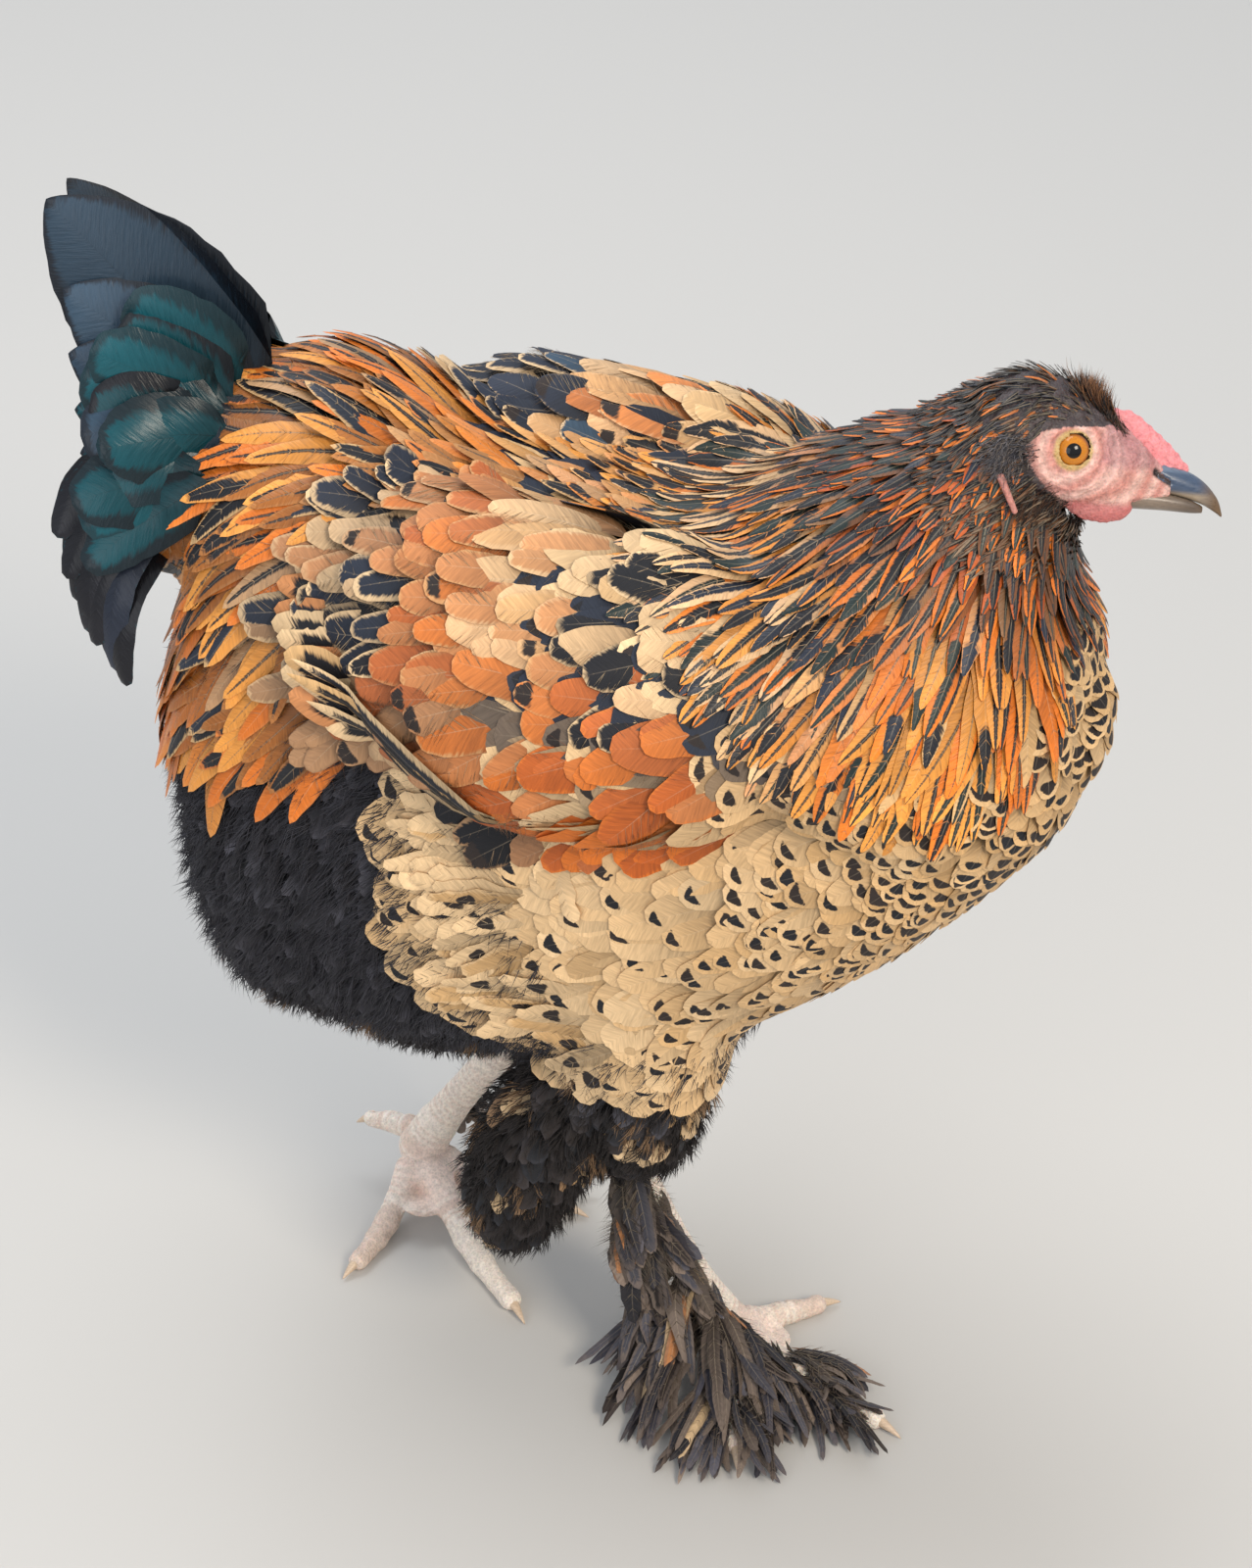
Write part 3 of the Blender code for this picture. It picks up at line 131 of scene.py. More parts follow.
# Skin over the beak's root, and the comb's body
BEAK_SKIN = ((2.0, 0.0, -0.6, 0.95, 1.1), (2.8, 0.0, -0.78, 0.68, 0.82), (3.3, 0.0, -0.85, 0.58, 0.6))
COMB = (
    (1.4, 0.0, 1.2, 0.2, 0.2), (1.9, 0.0, 0.96, 0.28, 0.32), (2.5, 0.0, 0.5, 0.35, 0.36),
    (3.1, 0.0, 0.02, 0.38, 0.38), (3.5, 0.0, -0.28, 0.32, 0.34), (3.95, 0.0, -0.44, 0.12, 0.16),
)
COMB_WAY = (0.83, 0.0, -0.56)
COMB_BUMPS = (0.42, 0.36, 0.05)
# Edges of the bare face: x, and the height of its brow and of its jaw there
FACE_EDGE = (
    (-1.6, -0.1, -0.3), (-1.3, 0.35, -0.6), (-0.8, 0.6, -1.15), (0.0, 0.74, -1.85), (1.0, 0.8, -2.5), (1.8, 1.1, -3.2),
    (2.3, 4.0, -4.0),
)

EYE_AT = (0.0, 1.2, 0.0)
EYE_RADIUS = 0.62
PUPIL, IRIS = 0.41, 0.92
BEAK_UPPER = (
    (2.4, 0.0, -0.65, 0.66, 0.62), (3.4, 0.0, -0.72, 0.56, 0.5), (4.4, 0.0, -1.0, 0.36, 0.38),
    (5.0, 0.0, -1.4, 0.18, 0.24), (5.25, 0.0, -1.75, 0.04, 0.05),
)
BEAK_LOWER = (
    (2.2, 0.0, -1.42, 0.55, 0.36), (3.3, 0.0, -1.42, 0.46, 0.32), (4.2, 0.0, -1.5, 0.28, 0.24),
    (4.6, 0.0, -1.6, 0.1, 0.1),
)
NOSTRIL = ((2.85, 0.66, -0.5), (3.45, 0.56, -0.85))

# Colours, linear
CREAM = (0.68, 0.47, 0.26)
BUFF = (0.56, 0.34, 0.15)
TAN = (0.38, 0.22, 0.11)
GOLD = (0.70, 0.28, 0.05)
ORANGE = (0.64, 0.16, 0.016)
RUST = (0.40, 0.075, 0.010)
BROWN = (0.14, 0.055, 0.022)
BLACK = (0.010, 0.010, 0.013)
NAVY = (0.018, 0.023, 0.037)
SLATE = (0.030, 0.055, 0.085)
TEAL = (0.008, 0.075, 0.095)
CHARCOAL = (0.031, 0.029, 0.037)
SMOKE = (0.07, 0.067, 0.082)
DRAB = (0.16, 0.12, 0.095)
DARK = (0.022, 0.015, 0.013)
PINK_BUFF = (0.48, 0.20, 0.075)
FACE = (0.52, 0.22, 0.18)
FACE_PALE = (0.66, 0.40, 0.34)
CHEEK = (0.30, 0.17, 0.15)
COMB_RED = (0.70, 0.23, 0.24)
WATTLE_RED = (0.42, 0.10, 0.10)
LID = (0.50, 0.34, 0.11)
SCALE = (0.78, 0.68, 0.58)
WEB = (0.80, 0.42, 0.36)


def unit(v):
    """Vectors of length 1"""
    return v / np.maximum(np.linalg.norm(v, axis=-1, keepdims=True), 1e-9)


def dot(a, b):
    """Products of vectors, kept as columns"""
    return (a * b).sum(-1, keepdims=True)


def fade(value, low, high):
    """0 at the low value, 1 at the high one, eased between"""
    t = np.clip((value - low) / (high - low), 0.0, 1.0)
    return t * t * (3.0 - 2.0 * t)


def mixed(a, b, share):
    """Colours between two, one for each share"""
    share = np.asarray(share, float)[..., None]
    return np.asarray(a) * (1.0 - share) + np.asarray(b) * share


def rows_at(keys, places):
    """Rows at fractions 0 to 1 of a Catmull-Rom curve through the key rows"""
    keys = np.array(keys, float)
    padded = np.vstack([2 * keys[0] - keys[1], keys, 2 * keys[-1] - keys[-2]])
    place = np.asarray(places, float) * (len(keys) - 1)
    index = np.clip(place.astype(int), 0, len(keys) - 2)
    f = (place - index)[..., None]
    a, b, c, d = (padded[index + step] for step in range(4))
    return b + 0.5 * f * (c - a + f * (2 * a - 5 * b + 4 * c - d + f * (3 * (b - c) + d - a)))


def turned(v, axis, angle):
    """Vectors turned about unit axes by angles in radians, by Rodrigues' formula"""
    c, s = np.cos(angle)[..., None], np.sin(angle)[..., None]
    return v * c + np.cross(axis, v) * s + axis * dot(axis, v) * (1 - c)


def head_axes():
    """The head's own three axes as rows: turned about Z, dipped about Y, then tilted about X"""
    t, d, r = (math.radians(value) for value in (HEAD_TURN, HEAD_DIP, -HEAD_TILT))
    turn = np.array(((math.cos(t), -math.sin(t), 0), (math.sin(t), math.cos(t), 0), (0, 0, 1)))
    dip = np.array(((math.cos(d), 0, math.sin(d)), (0, 1, 0), (-math.sin(d), 0, math.cos(d))))
    roll = np.array(((1, 0, 0), (0, math.cos(r), -math.sin(r)), (0, math.sin(r), math.cos(r))))
    return (turn @ dip @ roll).T


HEAD_AXES = head_axes()


def to_head(points):
    """Points of the bird's axes in the head's own"""
    return (points - np.array(HEAD_AT)) @ HEAD_AXES.T


def from_head(points):
    """Points of the head's own axes in the bird's"""
    return np.asarray(points) @ HEAD_AXES + np.array(HEAD_AT)


# Forms: functions that give points their distance to a surface, less than 0 inside

def merge(a, b, width):
    """The nearer of two distances, rounded where they meet over this width"""
    h = np.clip(0.5 + 0.5 * (b - a) / width, 0.0, 1.0)
    return b * (1 - h) + a * h - width * h * (1 - h)


def stack(keys, way, side, grow=0.0, square=2.0, cap=0.35, slices=48):
    """Form of oval slices on a straight way: the distance is the oval's level less 1, over its slope"""
    axis = unit(np.array(way, float))
    across = unit(np.array(side, float) - dot(np.array(side, float), axis) * axis)
    frame = np.stack([axis, across, np.cross(axis, across)])
    rows = rows_at(keys, np.linspace(0, 1, slices))
    middle = rows[:, :3] @ frame.T
    order = np.argsort(middle[:, 0])
    place = middle[order, 0]
    columns = [middle[order, 1], middle[order, 2],
               np.maximum(rows[order, 3] + grow, 0.05), np.maximum(rows[order, 4] + grow, 0.05)]

    def form(points):
        local = points @ frame.T
        on = np.clip(local[..., 0], place[0], place[-1])
        a, b, wide, high = (np.interp(on, place, column) for column in columns)
        over = (local[..., 0] - on) / (cap * np.minimum(wide, high))
        p, q = (local[..., 1] - a) / wide, (local[..., 2] - b) / high
        level = (np.abs(p) ** square + np.abs(q) ** square + np.abs(over) ** square) ** (1 / square)
        slope = np.sqrt((p / wide) ** 2 + (q / high) ** 2 + (over / np.minimum(wide, high)) ** 2)
        return level * (level - 1) / np.maximum(slope, 1e-6)
    return form


def ball(middle, size):
    """Form of an ellipsoid: its level less 1, over its slope"""
    middle, size = np.array(middle, float), np.array(size, float)

    def form(points):
        q = (points - middle) / size
        level = np.linalg.norm(q, axis=-1)
        return level * (level - 1) / np.maximum(np.linalg.norm(q / size, axis=-1), 1e-6)
    return form


def rod(start, end, first, last):
    """Form of a round rod that thins from its start to its end"""
    start, end = np.array(start, float), np.array(end, float)
    way = end - start

    def form(points):
        t = np.clip((points - start) @ way / (way @ way), 0.0, 1.0)
        return np.linalg.norm(points - start - t[..., None] * way, axis=-1) - first - (last - first) * t
    return form


def hoop(middle, way, radius, girth, squash=1.0):
    """Form of a ring round a way: the distance to its circle, less its girth"""
    middle, way = np.array(middle, float), unit(np.array(way, float))

    def form(points):
        gap = points - middle
        along = gap @ way
        out = (gap - along[..., None] * way) / (1.0, 1.0, squash)
        return np.hypot(np.linalg.norm(out, axis=-1) - radius, along) - girth
    return form


class Field:
    """A form sampled on an even grid, with its distance and outward way read between the grid's points"""

    def __init__(self, form, low, high, step):
        self.low, self.step = np.array(low, float), step
        axes = [np.arange(a, b + step, step) for a, b in zip(low, high)]
        self.points = np.stack(np.meshgrid(*axes, indexing="ij"), -1)
        values = form(self.points)
        slope = np.stack(np.gradient(values, step), -1)
        steep = np.clip(np.linalg.norm(slope, axis=-1), 0.5, 3.0)
        self.values = values / steep
        self.table = np.concatenate([self.values[..., None], slope], -1)

    def __call__(self, points):
        top = np.array(self.values.shape) - 1.001
        place = np.clip((points - self.low) / self.step, 0.0, top)
        corner = place.astype(int)
        f = place - corner
        total = 0.0
        for offset in np.ndindex(2, 2, 2):
            weight = np.where(offset, f, 1 - f).prod(-1, keepdims=True)
            total = total + weight * self.table[tuple(np.moveaxis(corner + offset, -1, 0))]
        return total[..., 0], unit(total[..., 1:])

    def settled(self, points, height, rounds=3):
        """Points moved along the outward way to a height over the form"""
        for _ in range(rounds):
            distance, up = self(points)
            points = points + up * (height - distance)[..., None]
        return points

    def lifted(self, points, height, rounds=3):
        """Points moved out to a height over the form where they are lower"""
        for _ in range(rounds):
            distance, up = self(points)
            points = points + up * np.maximum(height - distance, 0.0)[..., None]
        return points


def surface_net(values, low, step):
    """Closed skin of quads at the zero level of a grid: a corner in each crossed cell at the mean of its crossings, and
    a face round each crossed edge of the grid"""
    cells = np.array(values.shape) - 1
    total, count = np.zeros((*cells, 3)), np.zeros(cells)
    edges = []
    for axis in range(3):
        first = np.moveaxis(values, axis, 0)[:-1]
        last = np.moveaxis(values, axis, 0)[1:]
        crossed = (first < 0) != (last < 0)
        share = np.where(crossed, first / np.where(crossed, first - last, 1.0), 0.0)
        edges.append((crossed, first < 0))
        others = [k for k in range(3) if k != axis]
        for near in np.ndindex(2, 2):
            window = (slice(None), *(slice(n, n + cells[k]) for n, k in zip(near, others)))
            hit = np.moveaxis(crossed[window], 0, axis)
            count += hit
            total[..., axis] += np.moveaxis(share[window], 0, axis)
            for n, k in zip(near, others):
                total[..., k] += hit * n
    mixed_cells = count > 0
    index = np.full(cells, -1)
    index[mixed_cells] = np.arange(mixed_cells.sum())
    corners = np.argwhere(mixed_cells) + total[mixed_cells] / count[mixed_cells][:, None]
    quads = []
    for axis, (crossed, inside) in enumerate(edges):
        grid = np.moveaxis(index, axis, 0)
        inner = (slice(None), slice(1, -1), slice(1, -1))
        hit = crossed[inner]
        ring = [grid[:, 1 - a:grid.shape[1] - a, 1 - b:grid.shape[2] - b][hit]
                for a, b in ((1, 1), (0, 1), (0, 0), (1, 0))]
        faces = np.stack(ring, -1)
        flip = inside[inner][hit] == (axis == 1)
        faces[flip] = faces[flip][:, ::-1]
        quads.append(faces)
    return low + corners * step, np.concatenate(quads)


# Shader sums

class Wire:
    """A number or colour in a material, so that shader maths is written as sums"""

    def __init__(self, tree, socket):
        self.tree, self.socket = tree, socket

    def node(self, kind, settings=None, inputs=None, out=0):
        """A new node: its type, its settings, then the values or wires of its sockets"""
        made = self.tree.nodes.new(kind)
        for name, value in (settings or {}).items():
            setattr(made, name, value)
        for name, value in (inputs or {}).items():
            if isinstance(value, Wire):
                self.tree.links.new(value.socket, made.inputs[name])
            else:
                made.inputs[name].default_value = value
        return Wire(self.tree, made.outputs[out])

    def maths(self, operation, *values):
        return self.node("ShaderNodeMath", {"operation": operation}, dict(enumerate(values)))

    def __add__(self, other):
        return self.maths("ADD", self, other)

    __radd__ = __add__

    def __sub__(self, other):
        return self.maths("SUBTRACT", self, other)

    def __rsub__(self, other):
        return self.maths("SUBTRACT", other, self)

    def __mul__(self, other):
        return self.maths("MULTIPLY", self, other)

    __rmul__ = __mul__

    def __neg__(self):
        return self * -1.0

    def size(self):
        return self.maths("ABSOLUTE", self)

    def held(self):
        """Kept between 0 and 1"""
        return self.node("ShaderNodeClamp", None, {"Value": self})

    def most(self, other):
        return self.maths("MAXIMUM", self, other)

    def part(self, letter):
        """One number of a vector"""
        return self.node("ShaderNodeSeparateXYZ", None, {0: self}, "XYZ".index(letter))

    def over(self, colour, share, blend="MIX"):
        """This colour with another laid over it by a share"""
        return self.node("ShaderNodeMix", {"data_type": "RGBA", "blend_type": blend},
                         {0: share, 6: self, 7: colour}, 2)


class Finish:
    """A new material with one Principled shader"""

    def __init__(self, name, **constants):
        self.material = bpy.data.materials.new(name)
        self.material.use_nodes = True
        self.tree = self.material.node_tree
        self.shader = self.tree.nodes["Principled BSDF"]
        for socket, value in constants.items():
            self.shader.inputs[socket.replace("_", " ")].default_value = value

    def attribute(self, name, out=1):
        made = self.tree.nodes.new("ShaderNodeAttribute")
        made.attribute_name = name
        return Wire(self.tree, made.outputs[out])

    def colour(self, name):
        return self.attribute(name, 0)

    def set(self, **wires):
        for socket, wire in wires.items():
            self.tree.links.new(wire.socket, self.shader.inputs[socket.replace("_", " ")])

    def bump(self, height, strength, depth):
        made = height.node("ShaderNodeBump", None, {"Strength": strength, "Distance": depth, "Height": height})
        self.set(Normal=made)


# Feathers and blades of down are darker towards their roots and lighter at their tips: partly the greyer bases of the
# feathers, partly painted shade where they pass under the ones over them
TIP_GAIN = 0.9


def plume_finish(name, roughness=0.55, barbs=24.0, contrast=0.7, shaft=(0.75, 0.6, 0.42), shaft_share=0.5, **constants):
    """Feather: the ground colour with a stripe, a spot and a rim laid over it, broken along the barbs, and a shaft"""
    finish = Finish(name, **constants)
    vane, barb = finish.attribute("vane"), finish.attribute("barb")
    marks, spot = finish.attribute("marks"), finish.attribute("spot")
    across, along = vane.part("X"), vane.part("Y")
    wide, far, own = barb.part("X").size(), barb.part("Y"), barb.part("Z")
    slant = (far - wide * 0.9) * barbs
    place = across.node("ShaderNodeCombineXYZ", None, {0: slant, 1: wide * 1.6, 2: own})
    streak = place.node("ShaderNodeTexNoise", None, {"Vector": place, "Scale": 1.0, "Detail": 2.0, "Roughness": 0.6})
    rough_edge = (streak - 0.5) * 0.9
    stripe = ((marks.part("X") - across.size() + rough_edge * 0.5) * 7.0 + 0.2).held()
    bent = along + across * across * 0.11 - spot.part("X")
    level = across * across * spot.part("Y") + bent * bent * spot.part("Z")
    blot = ((1.0 - level + rough_edge * 1.2) * 4.0).held()
    outer = across.size().most((along - 0.8) * 5.0)
    rim = ((outer - marks.part("Y") + rough_edge * 0.6) * 6.0).held()
    line = ((0.022 - wide) * 90.0).held() * shaft_share * (1.0 - along)
    tone = finish.colour("ground").over(finish.colour("mark"), stripe.most(blot))
    tone = tone.over(finish.colour("rim"), rim)
    tone = tone.over((*shaft, 1.0), line)
    # The colour is made darker towards the root, partly as painted shade under the overlapping feathers
    shade = (streak * contrast + (1.0 - contrast * 0.5) + (along - 0.85) * TIP_GAIN) * (marks.part("Z") + 1.0)
    grey = shade.node("ShaderNodeCombineXYZ", None, {0: shade, 1: shade, 2: shade})
    tone = tone.over(grey, 1.0, "MULTIPLY")
    finish.set(Base_Color=tone, Roughness=(streak - 0.5) * 0.25 + roughness)
    finish.bump(streak, 0.5, 0.0006)
    return finish.material


# Meshes

def add_mesh(name, points, faces, material, layers=None, patches=None, smooth=True):
    """Piece of centimetre points and its faces, with attributes for its points and OFBake places for its corners"""
    mesh = bpy.data.meshes.new(name)
    faces = np.asarray(faces, np.int32)
    sides = faces.shape[1]
    mesh.vertices.add(len(points))
    mesh.vertices.foreach_set("co", ((points + SHIFT) * CM).astype(np.float32).ravel())
    mesh.loops.add(faces.size)
    mesh.loops.foreach_set("vertex_index", faces.ravel())
    mesh.polygons.add(len(faces))
    mesh.polygons.foreach_set("loop_start", np.arange(len(faces), dtype=np.int32) * sides)
    mesh.update(calc_edges=True)
    mesh.polygons.foreach_set("use_smooth", np.full(len(faces), smooth))
    for layer, values in (layers or {}).items():
        colour = layer in ("ground", "mark", "rim")
        kind = "FLOAT_COLOR" if colour else "FLOAT_VECTOR"
        if colour:
            values = np.concatenate([values, np.ones((len(values), 1))], 1)
        made = mesh.attributes.new(layer, kind, "POINT")
        made.data.foreach_set("color" if colour else "vector", values.astype(np.float32).ravel())
    if patches is not None:
        made = mesh.uv_layers.new(name="OFBake")
        made.data.foreach_set("uv", patches[faces.ravel()].astype(np.float32).ravel())
    made = bpy.data.objects.new(name, mesh)
    bpy.context.scene.collection.objects.link(made)
    if material:
        mesh.materials.append(material)
        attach(made, "root")
    return made


def crease(mesh, vane):
    """Makes the edges along the rims of vanes sharp, so that each face of a vane is shaded as flat"""
    ends = np.empty(len(mesh.edges) * 2, np.int32)
    mesh.edges.foreach_get("vertices", ends)
    ends = ends.reshape(-1, 2)
    rim = np.abs(vane[:, 0]) > 0.99
    point = (vane[:, 0] == 0) & (np.abs(vane[:, 1] - 0.5) > 0.49)
    sharp = rim[ends].all(1) | (rim[ends].any(1) & point[ends].any(1))
    mesh.attributes.new("sharp_edge", "BOOLEAN", "EDGE").data.foreach_set("value", sharp)


# Ring round a vane: places across it, and how far over its middle plane, in thicknesses
FINE_RING = ((-1.0, 0.0), (-0.5, 0.8), (0.0, 1.0), (0.5, 0.8), (1.0, 0.0), (0.0, -0.6))
PLAIN_RING = ((-1.0, 0.0), (0.0, 1.0), (1.0, 0.0), (0.0, -0.6))
PATCH = 0.003
BARB_GIRTH = 0.016
TIP_CROWD = 1.6
# Marks of a feather: half width of its stripe, where its rim starts, and how much brighter it is
PLAIN_MARKS = (-1.0, 3.0, 0.0)
# Spot of a feather: its place along, then how steeply it ends across and along
NO_SPOT = (9.0, 1.0, 1.0)


class Coat:
    """Vanes and blades of one piece, kept as arrays until the piece is made"""

    def __init__(self):
        self.points, self.faces, self.layers, self.patches, self.count = [], [], {}, [], 0

    def add(self, points, faces, patches, **layers):
        """Points as feathers by points by 3, faces of one feather, and a value of each layer for each point or feather"""
        feathers, each = points.shape[:2]
        self.points.append(points.reshape(-1, 3))
        start = np.arange(feathers)[:, None, None] * each + self.count
        self.faces.append((np.asarray(faces)[None] + start).reshape(-1, 3))
        self.patches.append(patches.reshape(-1, 2))
        for layer, values in layers.items():
            values = np.asarray(values, float)
            if values.ndim == 2:
                values = np.repeat(values[:, None], each, 1)
            self.layers.setdefault(layer, []).append(values.reshape(-1, 3))
        self.count += feathers * each

    def make(self, name, material, slot, nodes):
        """The finished piece, which stands for some nodes"""
        layers = {layer: np.concatenate(values) for layer, values in self.layers.items()}
        made = add_mesh(name, np.concatenate(self.points), np.concatenate(self.faces), material, layers,
                        np.concatenate(self.patches))
        crease(made.data, layers["vane"])
        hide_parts(*nodes)
        print(name, len(made.data.polygons))
        return made


def vane_faces(ring, rings):
    """Triangles of a vane: a fan at its root, bands between its rings and a fan at its tip"""
    root, tip = ring * rings, ring * rings + 1
    k = np.arange(ring)
    n = (k + 1) % ring
    faces = [np.stack([np.full(ring, root), n, k], 1)]
    for r in range(rings - 1):
        a, b, c, d = r * ring + k, r * ring + n, (r + 1) * ring + n, (r + 1) * ring + k
        faces += [np.stack([a, b, c], 1), np.stack([a, c, d], 1)]
    last = (rings - 1) * ring
    faces.append(np.stack([last + k, last + n, np.full(ring, tip)], 1))
    return np.concatenate(faces)


def unwrap(points):
    """Places of roots on an unwrap of the bird's own shape: along its length, and round it"""
    along = (points[:, 0] + 24.0) / 46.0
    height = np.where(points[:, 0] > 9.0, 33.0, 27.0)
    around = np.arctan2(points[:, 1], points[:, 2] - height) / (2 * math.pi) + 0.5
    return np.stack([along * 0.98 + 0.01, around * 0.98 + 0.01], 1)


def resampled(rows, shares):
    """Rows of each feather, kept at even stations, at these shares of its length"""
    last = rows.shape[1] - 1
    before = np.minimum((shares * last).astype(int), last - 1)
    part = (shares * last - before)[None, :, None]
    return rows[:, before] * (1 - part) + rows[:, before + 1] * part


def add_vanes(coat, path, up, width, outline, draw, colours, marks, spot, ring=PLAIN_RING, thick=0.012, cup=0.15,
              ragged=0.12, roll=0.15):
    """Lens-shaped vanes: a ring of points round each station of a shaft, as wide there as the outline says, drooping
    to the edges by the square of the place across, with edges that vary in and out"""
    feathers, stations = path.shape[:2]
    inner = stations - 2
    share = 1 - (1 - np.linspace(0, 1, stations)) ** TIP_CROWD
    path, up = resampled(path, share), resampled(up, share)
    way = unit(np.gradient(path, axis=1))
    side = unit(np.cross(up, way))
    side = turned(side, way, np.repeat(draw.normal(0, roll, feathers)[:, None], stations, 1))
    over = np.cross(way, side)
    across, rise = np.array(ring).T
    half = width[:, None] * outline(share)[None, 1:-1]
    edge = 1 + draw.uniform(-ragged, ragged, (feathers, inner, len(ring))) * (np.abs(across) > 0.9)
    out = half[..., None] * across * edge
    sag = -cup * half[..., None] * across ** 2 + thick * rise
    rings = path[:, 1:-1, None] + side[:, 1:-1, None] * out[..., None] + over[:, 1:-1, None] * sag[..., None]
    points = np.concatenate([rings.reshape(feathers, -1, 3), path[:, :1], path[:, -1:]], 1)
    length = np.linalg.norm(np.diff(path, axis=1), axis=2).sum(1)
    place = np.concatenate([np.repeat(share[1:-1], len(ring)), (0.0, 1.0)])
    sides = np.concatenate([np.tile(across, inner), (0.0, 0.0)])
    own = draw.uniform(0, 90, feathers)
    flat = np.repeat(np.stack([sides, place, np.zeros_like(place)], 1)[None], feathers, 0)
    real = np.stack([np.concatenate([out.reshape(feathers, -1), np.zeros((feathers, 2))], 1),
                     place[None] * length[:, None], np.repeat(own[:, None], len(place), 1)], 2)
    patches = unwrap(path[:, 0])[:, None] + PATCH / 2 * np.stack([sides, place * 2 - 1], 1)[None]
    ground, mark, rim = colours
    coat.add(points, vane_faces(len(ring), inner), patches, vane=flat, barb=real, ground=ground, mark=mark, rim=rim,
             marks=marks, spot=spot)


def add_barbs(coat, path, up, reach, colour, draw, first=0.3, pairs=12, lift=(-0.12, 0.04)):
    """Loose barbs from the shafts of feathers: straight three-sided spikes down both sides, slanted to the tip and
    shorter towards it"""
    feathers, stations = path.shape[:2]
    way = unit(np.gradient(path, axis=1))
    side = unit(np.cross(up, way))
    share = np.linspace(first, 0.97, pairs)
    at = (share * (stations - 1)).astype(int)
    for hand in (-1.0, 1.0):
        lean = way[:, at] * draw.uniform(0.8, 1.3, (feathers, pairs, 1)) + hand * side[:, at]
        lean = lean + up[:, at] * draw.uniform(*lift, (feathers, pairs, 1))
        long = reach[:, None] * (1.15 - share ** 3) * draw.uniform(0.8, 1.15, (feathers, pairs))
        root = path[:, at].reshape(-1, 3)
        tip = root + (unit(lean) * long[..., None]).reshape(-1, 3)
        count = len(root)
        spoke = unit(np.cross(tip - root, draw.normal(0, 1, (count, 3))))
        other = unit(np.cross(tip - root, spoke))
        ring = [root + BARB_GIRTH * (spoke * math.cos(angle) + other * math.sin(angle))
                for angle in np.arange(3) * 2 * math.pi / 3]
        points = np.stack([*ring, tip], 1)
        flat = np.tile((0.0, 0.5, 0.0), (count, 1))
        patches = np.repeat(unwrap(path[:, 0])[:, None], pairs, 1).reshape(-1, 1, 2)
        patches = patches + PATCH / 2 * np.array(((-1.0, -1.0), (1.0, -1.0), (0.0, 0.0), (0.0, 1.0)))
        tone = np.repeat(colour, pairs, 0)
        coat.add(points, ((2, 1, 0), (0, 1, 3), (1, 2, 3), (2, 0, 3)), patches, vane=flat, barb=flat, ground=tone,
                 mark=tone, rim=tone, marks=np.tile(PLAIN_MARKS, (count, 1)), spot=np.tile(NO_SPOT, (count, 1)))


def add_blades(coat, root, tip, bend, width, colour, draw):
    """Three-sided blades of down: thick at the root, bent in the middle, and drawn to a point"""
    count = len(root)
    way = unit(tip - root)
    side = unit(np.cross(way, unit(draw.normal(0, 1, (count, 3)))))
    angles = np.arange(3) * 2 * math.pi / 3
    lift = np.cross(way, side)
    spoke = side[:, None] * np.cos(angles)[None, :, None] + lift[:, None] * np.sin(angles)[None, :, None]
    middle = (root + tip) / 2 + bend
    girth = width[:, None, None]
    points = np.concatenate([root[:, None] + spoke * girth, middle[:, None] + spoke * girth * 0.75, tip[:, None]], 1)
    k, n = np.arange(3), (np.arange(3) + 1) % 3
    faces = np.concatenate([np.array([[2, 1, 0]]), np.stack([k, n, n + 3], 1), np.stack([k, n + 3, k + 3], 1),
                            np.stack([k + 3, n + 3, np.full(3, 6)], 1)])
    place = np.array([0, 0, 0, 0.5, 0.5, 0.5, 1.0])
    flat = np.repeat(np.stack([place * 0, place, place * 0], 1)[None], count, 0)
    real = flat * 2.0 + np.array((0.0, 0.0, 1.0)) * draw.uniform(0, 90, count)[:, None, None]
    patches = unwrap(root)[:, None] + PATCH / 2 * np.stack([place * 0, place * 2 - 1], 1)[None]
    coat.add(points, faces, patches, vane=flat, barb=real, ground=colour, mark=colour, rim=colour,
             marks=np.tile(PLAIN_MARKS, (count, 1)), spot=np.tile(NO_SPOT, (count, 1)))


# Outlines: half width of a vane at fractions of its length

def lance(t):
    """Hackle: even for two thirds of its length, then drawn to a rounded point"""
    return np.sqrt(np.clip(t * 5, 0, 1)) * np.sqrt(np.clip(1.0 - np.clip(t * 1.5 - 0.5, 0, 1) ** 1.6, 0, 1))


def bristle(t):
    """Head feather: widest at its root, drawn to a point"""
    return np.clip(1.05 - t, 0.0, 1) ** 0.7


def leaf(t):
    """Body feather: broad, with a round end"""
    return np.sqrt(np.clip(t * 3.0, 0.02, 1)) * np.sqrt(np.clip(1.0 - (np.clip(t - 0.45, 0, 1) / 0.57) ** 2.4, 0.0, 1))


def oar(t):
    """Flight feather: even, with a blunt end"""
    return np.sqrt(np.clip(t * 4.0, 0.05, 1)) * np.clip(1.0 - (np.clip(t - 0.6, 0, 1) / 0.41) ** 2.6, 0.0, 1) ** 0.6


def blade(t):
    """Tail feather: widest before its middle, drawn to a blunt point"""
    return np.sqrt(np.clip(t * 4.0, 0.05, 1)) * np.clip(1.0 - (np.clip(t - 0.42, 0, 1) / 0.58) ** 1.9, 0.0, 1) ** 0.8


def walk(field, roots, lie, length, sink, rise, stations, stray, climb=0.8):
    """Shafts walked from their roots along the lie of the coat, and the outward way at each station: the height over
    the form goes from the root's depth to the tip's rise"""
    place = field.settled(roots, -sink)
    path, ups = [place], [field(place)[1]]
    for share in np.linspace(0, 1, stations)[1:]:
        up = ups[-1]
        way = lie(place)
        way = turned(unit(way - dot(way, up) * up), up, stray)
        place = place + way * (length / (stations - 1))[:, None]
        place = field.settled(place, rise * share ** climb - sink * (1 - share ** climb), 2)
        path.append(place)
        ups.append(field(place)[1])
    return np.stack(path, 1), np.stack(ups, 1)


